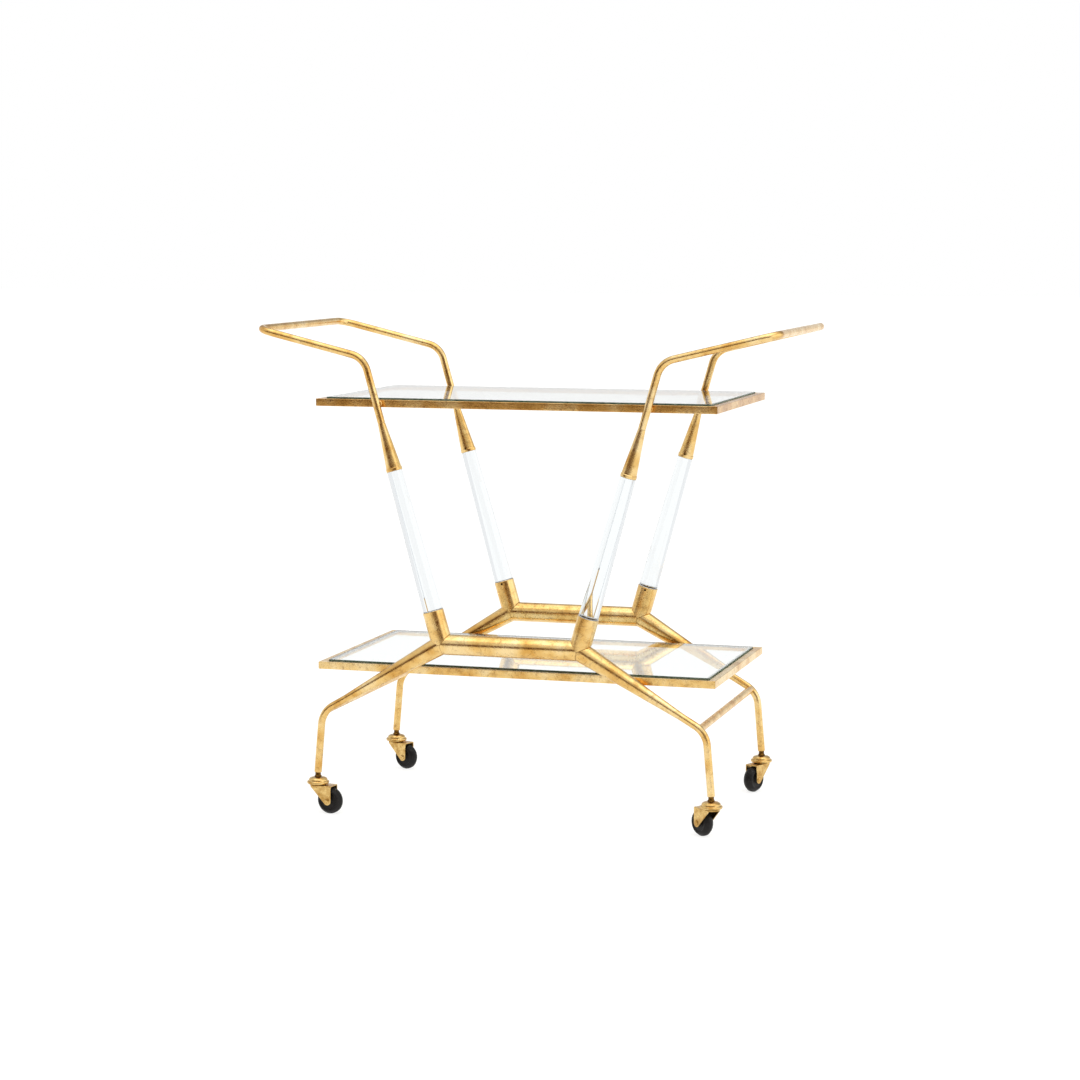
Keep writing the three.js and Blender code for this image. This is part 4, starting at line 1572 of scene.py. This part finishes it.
@dataclass
class Studio:
    """A plain floor, an overhead soft light and a white room with a brown front wall."""

    floor_low: Pair = (-30.0, -7.5)
    floor_high: Pair = (30.0, 32.0)
    floor_colour: str = "#939392"
    floor_light: str = "#FBFBFA"
    floor_glow: float = 0.83
    room_light: float = 0.95
    side_light: float = 1.6
    front_wall: str = "#5E380A"
    back_wall: str = "#B3B3B3"
    see_through: float = 0.75
    overhead: float = 1.1
    overhead_width: float = 70
    overhead_tilt: tuple[float, float, float] = (0.12, 0.1, 0)
    camera_at: tuple[float, float, float] = (1.3118, -4.4024, 1.0124)
    camera_pitch: float = 83.175
    camera_yaw: float = 16.683
    lens: float = 88.45

    def floor(self) -> None:
        """Lays a plain matt floor, lit a little from within so that it shows white."""
        floor = Bench.sheet("studio_floor", Vector((*self.floor_low, 0)),
                            Vector((*self.floor_high, 0)))
        Bench.clear()
        material = bpy.data.materials.new("matt_white_paint_rolled")
        material.use_nodes = True
        shader = material.node_tree.nodes["Principled BSDF"]
        shader.inputs["Base Color"].default_value = linear(self.floor_colour)
        shader.inputs["Roughness"].default_value = 0.9
        shader.inputs["Specular IOR Level"].default_value = 0.0
        # Its own light, as a light table has, keeps the cart's shade on it faint.
        shader.inputs["Emission Color"].default_value = linear(self.floor_light)
        shader.inputs["Emission Strength"].default_value = self.floor_glow
        floor.data.materials.append(material)

    @staticmethod
    def band(tree: Tree, value: Socket, span: tuple[float, float, float, float]) -> Socket:
        """A soft band of one in a span of values, with nothing outside it.

        Args:
            tree: The world's node tree.
            value: The value.
            span: Where the band starts, is full, is last full and ends.

        Returns:
            The band's output socket.
        """
        up, down = (
            add(tree, "ShaderNodeMapRange",
                {"interpolation_type": "SMOOTHSTEP", "From Min": a, "From Max": b},
                {"Value": value})
            for a, b in (span[:2], span[2:])
        )
        return add(tree, "ShaderNodeMath", {"operation": "SUBTRACT", "use_clamp": True},
                   {0: up.outputs["Result"], 1: down.outputs["Result"]}).outputs["Value"]

    def room(self) -> None:
        """Lights the room white, with a brown front wall, a dim back wall and a bright side."""
        world = bpy.data.worlds.new("white_room")
        bpy.context.scene.world = world
        world.use_nodes = True
        tree = world.node_tree
        tree.nodes.clear()
        direction = add(tree, "ShaderNodeTexCoord").outputs["Generated"]
        parts = add(tree, "ShaderNodeSeparateXYZ", links={0: direction}).outputs
        white, bright = ((level, level, level, 1.0)
                         for level in (self.room_light, self.side_light))
        light: Socket | None = None
        for wall in (
            Wall(linear(self.front_wall), "Y", (-1.2, -1.1, -0.55, -0.25),
                 (-0.12, -0.07, 0.22, 0.45)),
            Wall(linear(self.back_wall), "Y", (0.4, 0.7, 1.1, 1.2), (0.22, 0.34, 0.6, 0.75)),
            Wall(bright, "X", (0.7, 0.85, 1.1, 1.2), (-0.2, -0.1, 0.6, 0.75)),
        ):
            across = self.band(tree, parts[wall.axis], wall.across)
            upright = self.band(tree, parts["Z"], wall.upright)
            share = add(tree, "ShaderNodeMath", {"operation": "MULTIPLY"},
                        {0: across, 1: upright}).outputs["Value"]
            links = {0: share} if light is None else {0: share, 6: light}
            light = add(tree, "ShaderNodeMix", {"data_type": "RGBA", 6: white, 7: wall.colour},
                        links).outputs[2]
        # The camera, and mostly what shows through glass, see a plain white surround.
        path = add(tree, "ShaderNodeLightPath").outputs
        through = add(tree, "ShaderNodeMath", {"operation": "MULTIPLY", 1: self.see_through},
                      {0: path["Is Transmission Ray"]}).outputs["Value"]
        seen = add(tree, "ShaderNodeMath", {"operation": "MAXIMUM"},
                   {0: path["Is Camera Ray"], 1: through}).outputs["Value"]
        colour = add(tree, "ShaderNodeMix", {"data_type": "RGBA", 7: linear("#FFFFFF")},
                     {0: seen, 6: light}).outputs[2]
        glow = add(tree, "ShaderNodeBackground", {"Strength": 1.0}, {"Color": colour})
        add(tree, "ShaderNodeOutputWorld", links={"Surface": glow.outputs["Background"]})

    def lamp(self) -> None:
        """Hangs a wide soft light overhead."""
        Bench.clear()
        bpy.ops.object.light_add(type="SUN", location=(0, 0, 3), rotation=self.overhead_tilt)
        sun = bpy.context.object
        sun.name = "overhead_softbox"
        sun.data.energy = self.overhead
        sun.data.angle = math.radians(self.overhead_width)

    def camera(self) -> None:
        """Stands the camera in front of the cart, a little to its right."""
        Bench.clear()
        bpy.ops.object.camera_add(
            location=self.camera_at,
            rotation=(math.radians(self.camera_pitch), 0, math.radians(self.camera_yaw)))
        camera = bpy.context.object
        camera.name = "studio_camera"
        camera.data.sensor_width = 36
        camera.data.lens = self.lens
        camera.data.clip_end = 200
        bpy.context.scene.camera = camera

    def build(self) -> None:
        """Builds the whole studio, shown without a film curve so that white stays white."""
        self.camera()
        self.floor()
        self.room()
        self.lamp()
        bpy.context.scene.view_settings.view_transform = "Standard"


def main() -> None:
    """Builds the studio and the cart, sub-assembly by sub-assembly."""
    logging.basicConfig(level=logging.INFO, format="%(message)s", force=True)
    Bench.clear()
    Studio().build()
    frames = SideFrames()
    frames.build()
    CartEnds().build(frames)
    worn = GiltLeaf("gold_leaf_laid_and_worn", pale="#E0BC7C", leaf="#D0A058", deep="#B8863E",
                    toning=0.68, speckling=0.8)
    Shelf("upper", 714.8 * MM, on_spacers=True, rail_finish=worn).build()
    Shelf("lower", 261.2 * MM, on_spacers=False).build()
    Castors().build()
    Bench.clear()


if __name__ == "__main__":
    main()
